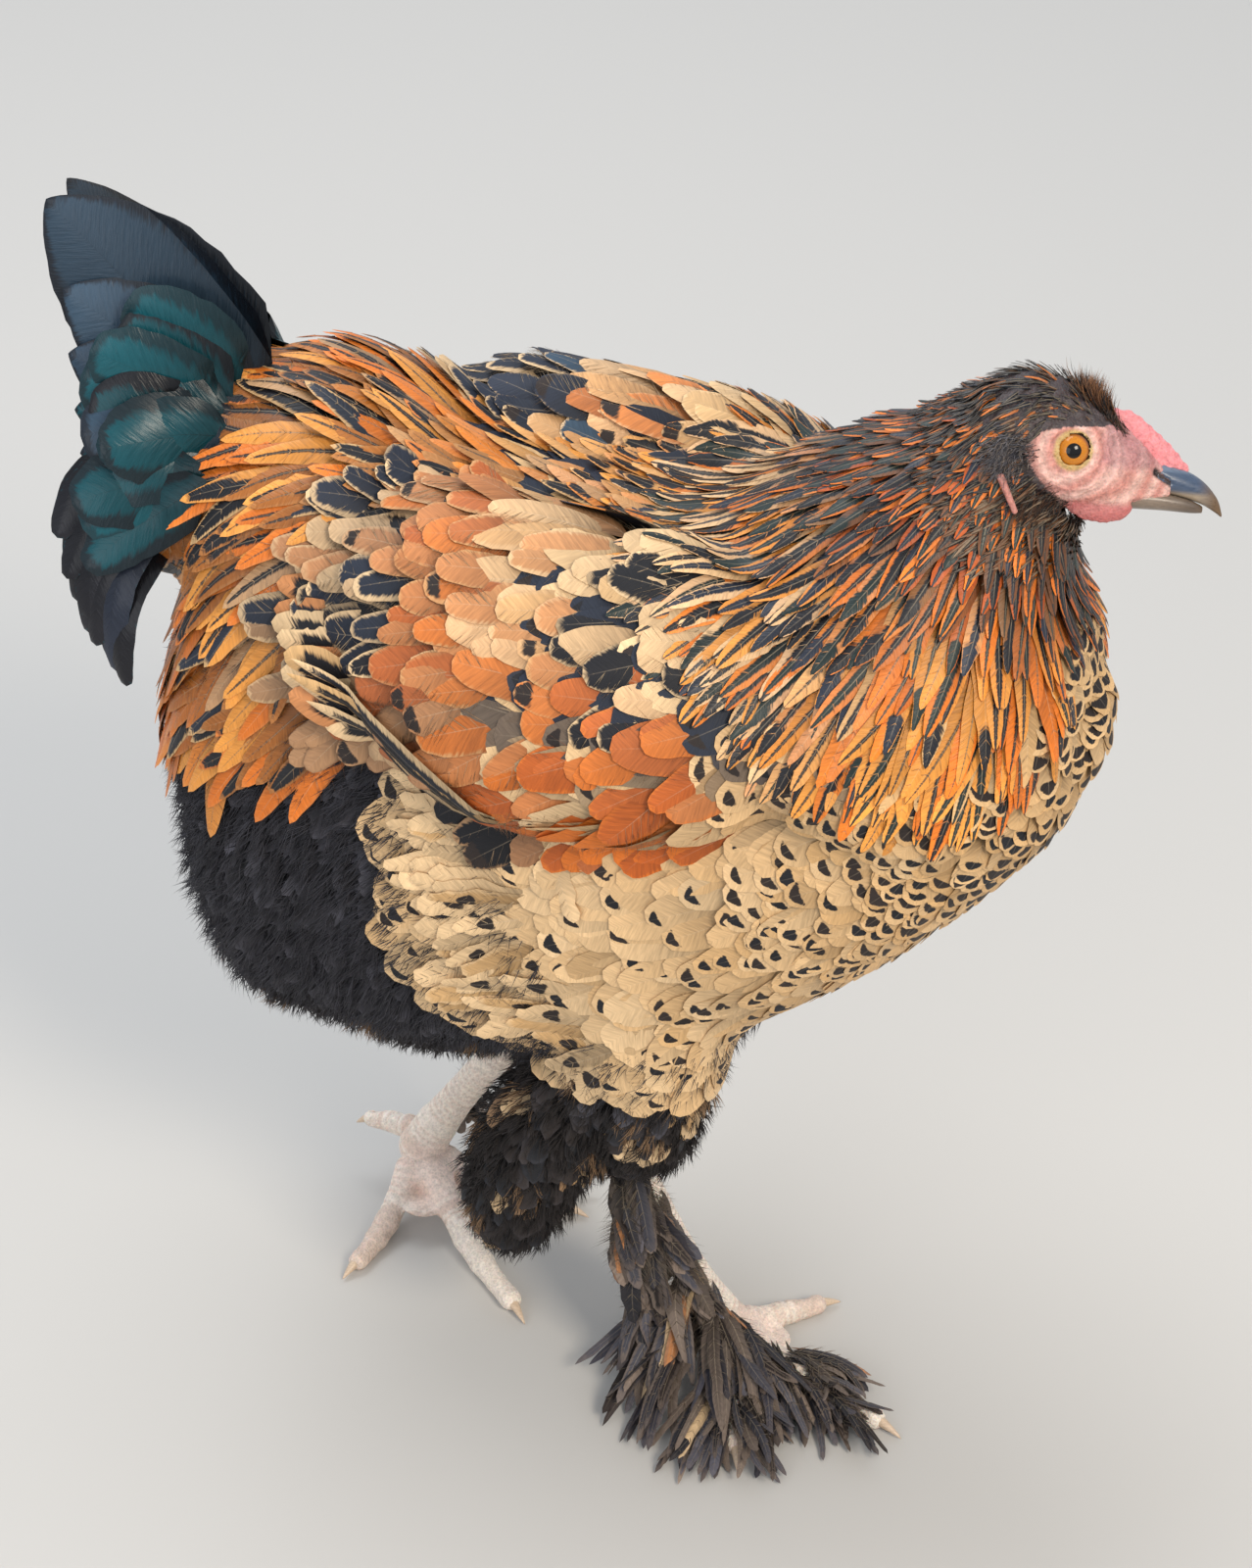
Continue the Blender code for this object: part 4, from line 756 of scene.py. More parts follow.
def thinned(points, spacing, draw):
    """About one point in each cell of this size, in random order"""
    points = points[draw.permutation(len(points))]
    keys = np.floor(points / spacing + draw.uniform(0, 1, 3)).astype(int)
    first = np.unique(keys, axis=0, return_index=True)[1]
    return points[first]


# Lie of the coat on the right side: where, and which way it points there
LIE = np.array((
    (16.4, 0.0, 30.0, -0.1, 0.0, -1.0), (14.6, -4.0, 31.0, -0.35, -0.15, -1.0), (13.0, -5.0, 26.5, -0.8, 0.0, -0.7),
    (9.0, -6.5, 24.5, -1.0, 0.0, -0.45), (4.0, -7.5, 25.0, -1.0, 0.0, -0.4), (-1.0, -7.8, 24.0, -1.0, 0.0, -0.5),
    (9.0, -1.0, 19.5, -1.0, 0.0, -0.1), (2.0, -5.0, 18.0, -0.8, 0.0, -0.6), (8.0, -7.0, 29.0, -1.0, 0.0, -0.4),
    (5.0, 0.0, 36.0, -1.0, 0.0, 0.0), (0.0, 0.0, 35.8, -1.0, 0.0, 0.05), (-5.0, 0.0, 36.5, -1.0, 0.0, 0.35),
    (-9.0, 0.0, 38.0, -1.0, 0.0, 0.4), (-12.5, 0.0, 38.5, -1.0, 0.0, 0.3), (-7.0, -4.0, 36.5, -0.95, -0.35, -0.05),
    (-10.0, -5.0, 35.5, -0.85, -0.35, -0.4), (-12.5, -5.0, 33.0, -0.6, -0.2, -0.8),
    (-9.0, -7.0, 32.0, -0.65, -0.2, -0.8), (-5.0, -7.0, 34.0, -0.85, -0.2, -0.35),
    (-14.0, -3.0, 28.0, -0.6, -0.2, -0.8), (-10.0, -7.0, 24.0, -0.5, -0.1, -0.85), (-15.5, 0.0, 24.0, -0.6, 0.0, -0.8),
    (-9.0, -6.0, 17.0, -0.4, 0.0, -0.9), (-5.0, -5.0, 15.0, -0.3, 0.0, -0.95), (2.0, -6.5, 15.0, -0.35, -0.1, -1.0),
    (-1.5, -6.5, 11.0, -0.2, -0.1, -1.0), (6.5, -8.0, 32.0, -1.0, -0.1, -0.4), (2.0, -9.0, 33.0, -1.0, 0.0, -0.15),
    (-3.0, -9.0, 33.0, -1.0, 0.05, 0.05), (0.0, -6.0, 36.8, -1.0, 0.0, 0.05),
))
LIE_BOTH = np.concatenate([LIE, LIE * np.tile((1.0, -1.0, 1.0), 2)])
HACKLE_SOURCE = np.array((13.4, 0.0, 42.5))


def body_lie(points):
    """Way of the coat: the mean of the ways near a place, weighted by the fourth power of their nearness"""
    gap = ((points[:, None] - LIE_BOTH[None, :, :3]) ** 2).sum(-1) + 1.0
    return (LIE_BOTH[None, :, 3:] / gap[..., None] ** 2).sum(1)


def wing_lie(points):
    """Way of the wing's coverts: back, and down on its lower half"""
    fall = -0.55 * (1 - fade(points[:, 2], 30.5, 35.0)) - 0.08
    return np.stack([np.full(len(points), -1.0), 0.1 * np.sign(points[:, 1]), fall], 1)


def hackle_lie(points):
    """Way of the hackle: out from the nape, swung a little back over the shoulders"""
    return unit(points - HACKLE_SOURCE) + np.array((-0.12, 0.0, -0.1))


def crown_lie(points):
    """Way of the head's feathers: straight back over the crown and the eyes, then down with the hackle"""
    behind = fade(-to_head(points)[:, :1], 0.0, 1.6)
    return -HEAD_AXES[0] + behind * (0.4 * unit(points - HACKLE_SOURCE) - 0.3 * HEAD_AXES[2])


def wing_form(points):
    """Both folded wings with their coverts"""
    wing = stack(WING, X_WAY, np.cross(WING_SLOPE, X_WAY), WING_COAT)
    return wing(points * np.where(points[..., 1:2] > 0, (1.0, -1.0, 1.0), 1.0))


def trunk_form(points):
    """Body, neck, head, tail root, wings, thighs and hocks, rounded into one another"""
    head = stack([(*from_head(row[:3]), row[3] - 0.1, row[4] - 0.1) for row in HEAD], HEAD_AXES[0], HEAD_AXES[1])
    made = merge(stack(BODY, X_WAY, Y_WAY, square=BODY_SQUARE)(points),
                 merge(stack(NECK, NECK_WAY, Y_WAY)(points), head(points), 1.5), 2.0)
    made = merge(made, stack(TAIL, TAIL_WAY, Y_WAY)(points), 1.5)
    made = merge(made, wing_form(points), 1.0)
    for side in (-1, 1):
        made = merge(made, stack(THIGH[side], Z_WAY, Y_WAY)(points), 1.2)
        made = merge(made, stack(HOCK[side], Z_WAY, Y_WAY)(points), 0.6)
    return made


def skin_depth(points):
    """Depth of the skin under the outer face of the plumage: deeper under the fluff, shallow on the head"""
    rear = fade(-points[..., 0], 4.0, 9.0) * fade(-points[..., 2], -34.0, -31.0)
    head = fade(points[..., 2], 38.0, 40.5)
    return 0.75 + 0.75 * rear - 0.45 * head


# Tiers of the right wing's flight feathers, from the lowest to the highest: root and tip of the lowest, of the
# middle and of the highest, then count, width and height over the wing
WING_TIERS = (
    (((-0.5, -8.6, 29.4), (-8.2, -8.8, 31.0)), ((-0.8, -8.8, 30.0), (-9.0, -8.5, 32.0)),
     ((-1.0, -8.9, 30.8), (-9.4, -8.2, 32.8)), 4, 1.7, 0.05),
    (((0.0, -8.9, 30.4), (-7.4, -8.9, 30.6)), ((-1.2, -8.0, 33.6), (-9.9, -7.4, 33.8)),
     ((-1.5, -4.6, 35.8), (-8.2, -4.0, 36.4)), 12, 1.7, 0.1),
    (((1.4, -8.8, 28.0), (-8.0, -9.0, 31.6)), ((1.0, -8.9, 28.8), (-8.6, -8.9, 32.3)),
     ((0.4, -9.0, 29.6), (-8.8, -8.8, 33.2)), 4, 1.25, 0.6),
)
# Root and way of the long flank feathers, from the knee up to the wing
FLANK = (
    (3.0, -6.4, 18.6, -0.9, 0.0, -0.35), (1.0, -7.4, 21.0, -1.0, 0.0, -0.3), (0.2, -8.0, 23.6, -1.0, 0.0, -0.25),
    (-0.4, -8.3, 26.0, -1.0, 0.0, -0.15), (-0.6, -8.4, 28.4, -1.0, 0.0, -0.1),
)
FLANK_COUNT = 60
# Tufts of the right side of the head: middle and spread, way, length, number and colours
HEAD_TUFTS = (
    ((-1.9, 1.9, -0.35), (0.3, 0.1, 0.3), (-0.7, 0.75, -0.3), 0.95, 900, ((0.24, 0.23, 0.25), (0.3, 0.24, 0.2), SMOKE)),
    ((0.95, 0.35, 1.45), (0.35, 0.25, 0.12), (-0.45, 0.1, 1.0), 1.0, 420, (BROWN, (0.3, 0.13, 0.05), DARK)),
    ((1.5, 0.65, 0.85), (0.22, 0.1, 0.22), (-0.6, 0.2, 0.8), 0.4, 110, (BROWN, DARK, DRAB)),
    ((-0.9, 1.5, -1.9), (0.5, 0.12, 0.28), (-0.7, 0.25, -0.8), 0.6, 400, (DARK, DRAB, BROWN)),
    ((1.6, 0.6, -2.0), (0.6, 0.15, 0.1), (-0.6, 0.1, -0.8), 0.25, 80, (DARK, DRAB, BROWN)),
)
# Looks of the wings' coverts: x and z of their place, ground colours with their shares, rim, and where it starts
NEAR_COVERTS = (
    (4.6, 31.6, (RUST, ORANGE, PINK_BUFF), (5, 4, 1), ORANGE, 0.8),
    (1.6, 31.6, (RUST, ORANGE, PINK_BUFF), (5, 3, 2), PINK_BUFF, 0.85),
    (1.8, 33.4, (ORANGE, RUST, PINK_BUFF), (4, 3, 2), BUFF, 0.8),
    (4.8, 34.8, (CREAM, BLACK, BUFF), (5, 3, 2), CREAM, 0.8),
    (1.4, 35.3, (CREAM, BUFF, PINK_BUFF), (2, 2, 3), CREAM, 0.75),
    (-1.6, 34.8, (PINK_BUFF, RUST, ORANGE), (4, 3, 1), BUFF, 0.8),
    (-4.6, 35.6, (NAVY, CREAM, PINK_BUFF), (4, 2, 2), CREAM, 0.72),
    (-4.6, 33.8, (NAVY, TAN, BLACK), (4, 2, 1), CREAM, 0.72),
    (-1.8, 32.8, (RUST, TAN, PINK_BUFF), (3, 3, 2), DARK, 0.86),
    (-3.8, 31.8, (TAN, TAN, RUST), (3, 2, 2), DARK, 0.82),
    (-3.0, 30.2, (TAN, NAVY, CREAM), (4, 2, 1), DARK, 0.8),
    (0.8, 29.8, (BLACK, RUST, TAN), (3, 2, 2), TAN, 0.8),
)
FAR_COVERTS = (
    (5.0, 34.6, (CREAM, BUFF, NAVY), (4, 3, 1), CREAM, 0.8),
    (3.0, 33.0, (BUFF, ORANGE, RUST), (3, 3, 2), CREAM, 0.8),
    (1.6, 35.4, (ORANGE, CREAM, BUFF), (4, 2, 2), CREAM, 0.85),
    (-1.2, 35.2, (NAVY, SLATE, CREAM), (6, 2, 1), CREAM, 0.86),
    (-4.6, 35.4, (NAVY, CREAM, BUFF), (4, 2, 1), CREAM, 0.72),
    (-3.4, 32.4, (NAVY, TAN, CREAM), (4, 2, 1), DARK, 0.8),
    (0.6, 30.8, (TAN, RUST, BUFF), (3, 2, 2), DARK, 0.84),
)
# Quill feathers of one side of the tail from the top down: length, climb in degrees, width and side
QUILLS = ((9.9, 46, 6.0, 0.2), (7.6, 36, 4.6, 0.9), (6.4, 25, 3.8, 1.6), (5.6, 12, 3.4, 2.1), (5.2, 0, 3.0, 2.5))
QUILL_ROOT = (-13.2, -0.6, 37.0)
QUILL_OUT = (0.15, -1.0, 0.3)
# Coverts of one side of the tail, and the sickles that hang below them: root, bend, tip and width
COVERTS = (
    (-13.2, -0.9, 37.8, -14.8, -1.6, 40.0, -16.8, -1.8, 41.2, 3.1),
    (-13.4, -1.9, 37.4, -15.4, -3.0, 39.2, -17.9, -3.2, 39.8, 3.2),
    (-13.4, -2.4, 36.8, -15.6, -4.0, 38.2, -18.0, -4.6, 38.0, 3.1),
    (-12.6, -2.6, 37.2, -14.4, -4.2, 38.2, -16.4, -5.2, 37.4, 2.8),
    (-13.2, -3.0, 36.2, -15.4, -5.0, 36.8, -17.6, -5.6, 35.6, 2.8),
    (-13.0, -3.2, 35.4, -15.0, -5.6, 35.6, -16.8, -6.2, 33.8, 2.4),
)
SICKLES = (
    (-14.6, -2.0, 36.2, -17.4, -3.8, 37.6, -18.8, -4.6, 34.8, 1.6),
    (-14.8, -2.6, 35.8, -17.4, -5.0, 36.6, -18.0, -5.8, 32.8, 1.6),
    (-14.8, -3.2, 35.2, -17.0, -6.0, 35.2, -16.8, -6.6, 30.8, 1.5),
    (-14.6, -3.4, 34.2, -16.4, -6.8, 33.8, -15.6, -7.2, 29.4, 1.4),
)
COVERT_OUT = (-0.1, -1.0, 0.35)
# Feathers of the legs and feet: root, bend, tip and width
FOOT_FEATHERS = (
    (1.0, -2.9, 8.8, 1.6, -3.5, 8.0, 2.4, -3.0, 6.2, 1.4), (1.6, -2.8, 7.4, 2.3, -3.3, 6.6, 3.1, -2.8, 4.8, 1.4),
    (2.2, -2.6, 6.0, 2.9, -3.1, 5.2, 3.7, -2.6, 3.4, 1.4), (2.8, -2.4, 4.8, 3.5, -2.9, 4.0, 4.4, -2.4, 2.2, 1.3),
    (3.4, -2.2, 3.4, 4.1, -2.7, 2.8, 5.2, -2.5, 1.0, 1.3), (1.3, -2.6, 8.4, 2.0, -2.8, 7.6, 2.7, -2.4, 5.8, 1.2),
    (2.4, -2.2, 5.8, 3.1, -2.5, 4.8, 3.8, -2.2, 3.0, 1.2),
    (1.2, -2.9, 9.4, 1.8, -3.8, 8.8, 2.1, -3.9, 6.4, 1.5), (0.8, -3.2, 9.0, 1.4, -4.4, 8.0, 1.8, -4.2, 5.6, 1.5),
    (1.5, -2.4, 7.2, 0.8, -4.3, 6.8, 1.5, -4.1, 4.6, 1.7), (1.8, -2.3, 6.4, 1.2, -4.2, 5.8, 2.0, -4.0, 3.4, 1.7),
    (1.9, -2.3, 6.0, 2.0, -4.0, 5.6, 2.9, -3.9, 2.8, 1.6), (2.6, -2.0, 4.6, 1.6, -3.8, 4.4, 1.7, -4.6, 1.6, 1.6),
    (3.0, -1.9, 3.8, 3.2, -3.8, 3.8, 3.4, -5.0, 1.2, 1.6), (3.4, -1.8, 2.8, 1.8, -3.0, 2.4, 0.8, -4.6, 0.5, 1.4),
    (3.6, -1.8, 2.4, 2.4, -4.2, 2.2, 1.8, -6.3, 0.4, 1.4), (3.8, -1.8, 2.0, 3.2, -4.6, 1.8, 3.2, -7.5, 0.4, 1.4),
    (5.2, -3.2, 0.6, 4.7, -5.4, 1.2, 4.6, -8.3, 0.3, 1.2), (5.6, -4.6, 0.5, 5.4, -6.6, 1.2, 5.7, -8.7, 0.3, 1.2),
    (5.9, -5.2, 0.5, 7.0, -6.6, 1.0, 7.9, -7.9, 0.3, 1.1), (5.5, -4.2, 0.5, 6.8, -5.2, 1.1, 7.7, -6.6, 0.3, 1.1),
    (6.6, -2.3, 0.7, 7.6, -3.9, 1.2, 8.6, -5.6, 0.3, 1.2), (7.6, -2.6, 0.6, 8.9, -4.0, 1.1, 9.8, -5.4, 0.3, 1.2),
    (7.8, -2.6, 0.9, 9.0, -3.2, 1.4, 10.2, -4.0, 0.5, 1.2), (4.2, -2.0, 2.2, 5.6, -3.4, 1.8, 6.9, -5.4, 0.4, 1.4), (4.6, -1.8, 1.8, 6.2, -2.9, 1.7, 7.8, -4.6, 0.5, 1.4),
    (4.0, -2.2, 2.4, 4.8, -4.2, 2.0, 5.4, -6.4, 0.4, 1.4), (5.4, -2.6, 1.2, 6.6, -4.0, 1.4, 7.6, -6.0, 0.3, 1.3),
    (8.6, -3.0, 0.6, 9.9, -4.0, 1.0, 10.9, -5.0, 0.3, 1.0), (7.2, -2.4, 0.8, 8.8, -2.4, 1.3, 10.2, -2.9, 0.4, 1.1),
    (-5.6, 4.2, 8.8, -5.9, 6.0, 8.2, -6.9, 6.0, 5.8, 1.6), (-6.6, 4.0, 7.2, -7.0, 5.9, 6.6, -8.0, 5.9, 4.2, 1.6),
    (-6.1, 4.1, 8.0, -6.4, 5.9, 7.4, -7.4, 5.9, 5.0, 1.6), (-7.2, 3.9, 6.3, -7.4, 5.7, 5.8, -8.3, 5.9, 3.4, 1.6),
    (-8.3, 3.7, 4.6, -8.2, 5.4, 4.2, -8.6, 6.2, 1.9, 1.5), (-7.8, 3.8, 5.4, -7.8, 5.6, 5.0, -8.6, 6.0, 2.6, 1.5), (-8.8, 3.5, 3.8, -8.6, 5.2, 3.4, -8.6, 6.4, 1.2, 1.4),
    (-6.9, 3.5, 1.0, -6.6, 4.9, 1.4, -5.4, 6.2, 0.3, 1.2), (-5.8, 3.6, 0.6, -5.0, 4.6, 1.1, -3.6, 5.5, 0.3, 1.2),
)

TUFT_BLADES = 5
DOWN_PIECES = 4
FOOT_TUFT = 14
BOOT_PATCH = (3.4, -4.9, 1.3)


def chosen(draw, count, colours, shares, spread=0.12):
    """A colour for each feather, by shares, a little lighter or darker"""
    pick = np.array(colours, float)[draw.choice(len(colours), count, p=np.array(shares) / np.sum(shares))]
    return np.clip(pick * (1 + draw.normal(0, spread, (count, 1))), 0.0, 1.0)


def swapped(values, others, share):
    """Rows of one array, or of the other where the share says so"""
    return np.where(share[:, None], others, values)


def cape_reach(points):
    """How far from the nape the cape ends: less over the throat than over the shoulders and back"""
    gap = points - HACKLE_SOURCE
    angle = np.degrees(np.arctan2(np.abs(gap[:, 1]), gap[:, 0]))
    return 9.8 + 5.2 * fade(angle, 30.0, 100.0), angle


def bare_face(local):
    """Whether points of the head's own axes are on the bare face, between its brow and its jaw"""
    place, brow, jaw = np.array(FACE_EDGE).T
    x, _, z = local.T
    near = np.abs(local[:, 1]) < 2.6
    return (x > place[0]) & (z < np.interp(x, place, brow)) & (z > np.interp(x, place, jaw)) & near


def dress_breast(coat, trunk, skin, draw):
    """Cream feathers of the breast, flanks and belly, with dark crescents near their tips, small ahead, long behind"""
    x, y, z = skin.T
    edge = -2.6 + 2.2 * fade(-z, -24.0, -18.0) + 1.2 * fade(z, 27.0, 31.0)
    reach, _ = cape_reach(skin)
    away = np.linalg.norm(skin - HACKLE_SOURCE, axis=1)
    region = (x > edge) & (z < 36.0) & (wing_form(skin) > -0.9) & (z > 17.6 + 0.15 * np.abs(x))
    region &= away > reach - 2.6
    blurred = x + draw.normal(0, 0.9, len(x))
    for spacing, low, high in ((0.66, 10.5, 30.0), (0.85, 5.0, 10.5), (1.0, -12.0, 5.0)):
        roots = thinned(skin[region & (blurred > low) & (blurred <= high)], spacing, draw)
        count = len(roots)
        ahead = fade(roots[:, 0], 4.0, 14.0)
        long = 4.6 - 2.9 * ahead + draw.normal(0, 0.25, count)
        low_flank = fade(-roots[:, 2], -23.0, -18.0) * (1 - ahead)
        rise = 0.08 + draw.uniform(0, 0.07, count)
        path, up = walk(trunk, roots, body_lie, long * (1 - 0.25 * low_flank), 0.5, rise, 10,
                        draw.normal(0, 0.12, count), 0.5)
        ground = mixed(CREAM, BUFF, np.clip(0.3 + 0.45 * ahead + draw.normal(0, 0.22, count), 0, 1))
        ground *= 1 + draw.normal(0, 0.08, (count, 1))
        mark = chosen(draw, count, (DARK, BLACK), (2, 1))
        spotted = draw.uniform(0, 1, count) < 0.4 + 0.5 * ahead
        spot = np.stack([1 - draw.uniform(0.26, 0.42, count) / long, draw.uniform(0.8, 2.6, count) + 1.2 * (1 - ahead),
                         (long / draw.uniform(0.15, 0.25, count)) ** 2], 1)
        spot = swapped(spot, NO_SPOT, ~spotted)
        under_cape = fade(roots[:, 2], 30.5, 33.5) * (draw.uniform(0, 1, count) < 0.75)
        ground = mixed(ground, NAVY, under_cape * (roots[:, 0] < 12.5))
        width = (0.62 + 0.36 * (1 - ahead)) * draw.uniform(0.85, 1.15, count)
        add_vanes(coat, path, up, width, leaf, draw, (ground, mark, ground), np.tile(PLAIN_MARKS, (count, 1)), spot,
                  ring=FINE_RING, thick=0.006, ragged=0.06, cup=0.05, roll=0.06)


def dress_flank(coat, trunk, draw):
    """Long cream feathers from under the wing over the edge of the fluff, with split tips"""
    rows = rows_at(FLANK, draw.uniform(0, 1, FLANK_COUNT)) + draw.normal(0, 0.35, (FLANK_COUNT, 6))
    for side in (-1, 1):
        roots = rows[:, :3] * (1.0, -side, 1.0)
        way = rows[:, 3:] * (1.0, -side, 1.0)
        count = len(roots)
        path, up = walk(trunk, roots, lambda points: way, draw.uniform(3.8, 5.4, count), 0.3,
                        draw.uniform(0.25, 0.6, count), 10, draw.normal(0, 0.1, count))
        ground = chosen(draw, count, (CREAM, BUFF), (3, 1))
        spot = swapped(np.tile(NO_SPOT, (count, 1)), (0.7, 2.4, 160.0), draw.uniform(0, 1, count) < 0.45)
        add_vanes(coat, path, up, draw.uniform(0.4, 0.75, count), leaf, draw,
                  (ground, np.tile(DARK, (count, 1)), mixed(ground, CREAM, np.full(count, 0.6))),
                  np.tile((-1.0, 0.7, 0.03), (count, 1)), spot, ring=FINE_RING, ragged=0.3, cup=0.1, roll=0.1)
        add_barbs(coat, path, up, draw.uniform(0.7, 1.1, count), ground, draw)


def dress_cape(coat, fringe, trunk, skin, draw):
    """Hackle: long pointed feathers that fall from the nape over the neck and shoulders"""
    gap = np.linalg.norm(skin - HACKLE_SOURCE, axis=1)
    local = to_head(skin)
    bare = bare_face(local) | (local[:, 0] > -1.5) & (local[:, 2] > -1.2)
    for spacing, low, high in ((0.34, 1.5, 4.5), (0.48, 4.5, 7.0), (0.66, 7.0, 12.8)):
        roots = thinned(skin[(gap > low) & (gap <= high) & ~bare], spacing, draw)
        reach, angle = cape_reach(roots)
        away = np.linalg.norm(roots - HACKLE_SOURCE, axis=1)
        long = np.clip(1.3 + 0.66 * (away - 2.0), 1.2, 5.4) * (0.72 + 0.28 * fade(angle, 25.0, 80.0))
        long *= draw.uniform(0.85, 1.1, len(roots))
        left = (reach * draw.uniform(0.93, 1.05, len(roots)) - away) / 0.95
        long = np.minimum(long, left)
        kept = left > 2.4
        roots, long, angle, away = roots[kept], long[kept], angle[kept], away[kept]
        count = len(roots)
        path, up = walk(trunk, roots, hackle_lie, long, 0.45, draw.uniform(0.12, 0.34, count), 10,
                        draw.normal(0, 0.1, count))
        side = fade(angle, 30.0, 60.0) * (1 - fade(angle, 112.0, 138.0))
        throat = 1 - fade(angle, 30.0, 55.0)
        crown = 1 - fade(away, 4.5, 7.5)
        ground = chosen(draw, count, (GOLD, ORANGE, BUFF), (6, 6, 1))
        ground = mixed(ground, chosen(draw, count, (CREAM, GOLD, ORANGE), (4, 2, 2)), 0.8 * (1 - side) * (1 - throat))
        ground = mixed(ground, chosen(draw, count, (RUST, BROWN, ORANGE), (4, 3, 2)), throat)
        ground = mixed(ground, chosen(draw, count, (ORANGE, BROWN, RUST), (4, 5, 2)), crown)
        mark = chosen(draw, count, (BLACK, NAVY, (0.012, 0.022, 0.02)), (4, 1, 2))
        stripe = draw.uniform(0.05, 0.5, count) + 0.22 * throat + 0.18 * crown + 0.12 * (1 - side)
        plain = (draw.uniform(0, 1, count) < 0.3 * side * (1 - crown)) & (away > 7)
        stripe = np.where(plain, -1.0, stripe)
        spot = np.tile(NO_SPOT, (count, 1))
        dark_tip = draw.uniform(0, 1, count) < 0.32 * (1 - side) + 0.12
        spot = swapped(spot, (0.92, 1.0, 18.0), dark_tip)
        marks = np.stack([stripe, np.full(count, 3.0), 0.15 * side], 1)
        width = (0.16 + 0.055 * long) * draw.uniform(0.8, 1.15, count)
        add_vanes(coat, path, up, width, lance, draw, (ground, mark, ground), marks, spot, ring=FINE_RING, ragged=0.15,
                  cup=0.1, roll=0.08)
        free = away > 5.5
        add_barbs(fringe, path[free], up[free], 1.3 * width[free], ground[free], draw, 0.55, 8)


def dress_crown(coat, down, trunk, skin, draw):
    """Short feathers over the crown, nape and throat, a brown tuft behind the comb, and grey tufts over the ears"""
    local = to_head(skin)
    near = (np.linalg.norm(local, axis=1) < 4.0) & (local[:, 0] > -3.6) & ~bare_face(local)
    near &= local[:, 0] < np.where(local[:, 2] > 0, 1.2, 1.9)
    roots = thinned(skin[near], 0.16, draw)
    roots = np.concatenate([roots, roots + draw.normal(0, 0.1, roots.shape), roots + draw.normal(0, 0.1, roots.shape)])
    roots = roots[~bare_face(to_head(roots))]
    count = len(roots)
    place = to_head(roots)
    ahead = fade(place[:, 0], -2.6, 1.0)
    high = fade(place[:, 2], 0.8, 1.8)
    path, up = walk(trunk, roots, crown_lie, (1.5 - 0.9 * ahead) * draw.uniform(0.8, 1.2, count), 0.2,
                    draw.uniform(0.02, 0.2, count) + 0.15 * high, 6, draw.normal(0, 0.18, count))
    low = fade(-place[:, 2], 0.8, 1.6)
    ground = chosen(draw, count, (BLACK, NAVY, BROWN, ORANGE), (7, 3, 3, 1.3))
    ground = swapped(ground, chosen(draw, count, (BROWN, (0.2, 0.13, 0.08), DARK), (3, 2, 2)), low > 0.5)
    mark = chosen(draw, count, (BLACK,), (1,))
    spot = swapped(np.tile(NO_SPOT, (count, 1)), (0.85, 1.0, 12.0), draw.uniform(0, 1, count) < 0.3)
    add_vanes(coat, path, up, 0.055 + 0.06 * (1 - ahead), bristle, draw, (ground, mark, ground),
              np.tile((0.05, 3.0, 0.0), (count, 1)), spot, ragged=0.15)
    for middle, spread, way, long, number, shades in HEAD_TUFTS:
        for side in (-1.0, 1.0):
            flip = np.array((1.0, side, 1.0))
            start = (np.array(middle) + draw.normal(0, 1, (number, 3)) * spread) * flip
            start = to_head(trunk.settled(from_head(start), 0.0))
            lean = unit(np.array(way) * flip + draw.normal(0, 0.25, (number, 3)))
            end = start + lean * (long * draw.uniform(0.6, 1.1, number))[:, None]
            bend = np.array((-0.1, 0.0, 0.05)) * long
            add_blades(down, from_head(start), from_head(end), bend @ HEAD_AXES, np.full(number, 0.014),
                       chosen(draw, number, shades, (1, 1, 1), 0.2), draw)


def tier_paths(tier, side, trunk, draw, stations=14):
    """Shafts of a tier of wing feathers: each goes straight from its root to its tip, lifted clear of the wing"""
    *pairs, count, width, height = tier
    keys = np.array([np.concatenate(pair) for pair in pairs])
    rows = rows_at(keys, (np.arange(count) + 0.5) / count) + draw.normal(0, 0.1, (count, 6))
    share = np.linspace(0, 1, stations)[:, None]
    path = rows[:, None, :3] * (1 - share) + rows[:, None, 3:] * share
    path = path * (1.0, -side, 1.0)
    lift = height * np.clip(share[:, 0] * 2.2, 0, 1) - 0.5 * (1 - np.clip(share[:, 0] * 5, 0, 1))
    lift = lift[None] + np.linspace(0.0, 0.16, count)[:, None]
    for _ in range(3):
        distance, up = trunk(path)
        free = lift + 0.1 + 9.0 * fade(-path[..., 0], 5.5, 8.0)
        path = path + up * (np.clip(distance, lift, free) - distance)[..., None]
    return path, trunk(path)[1], width


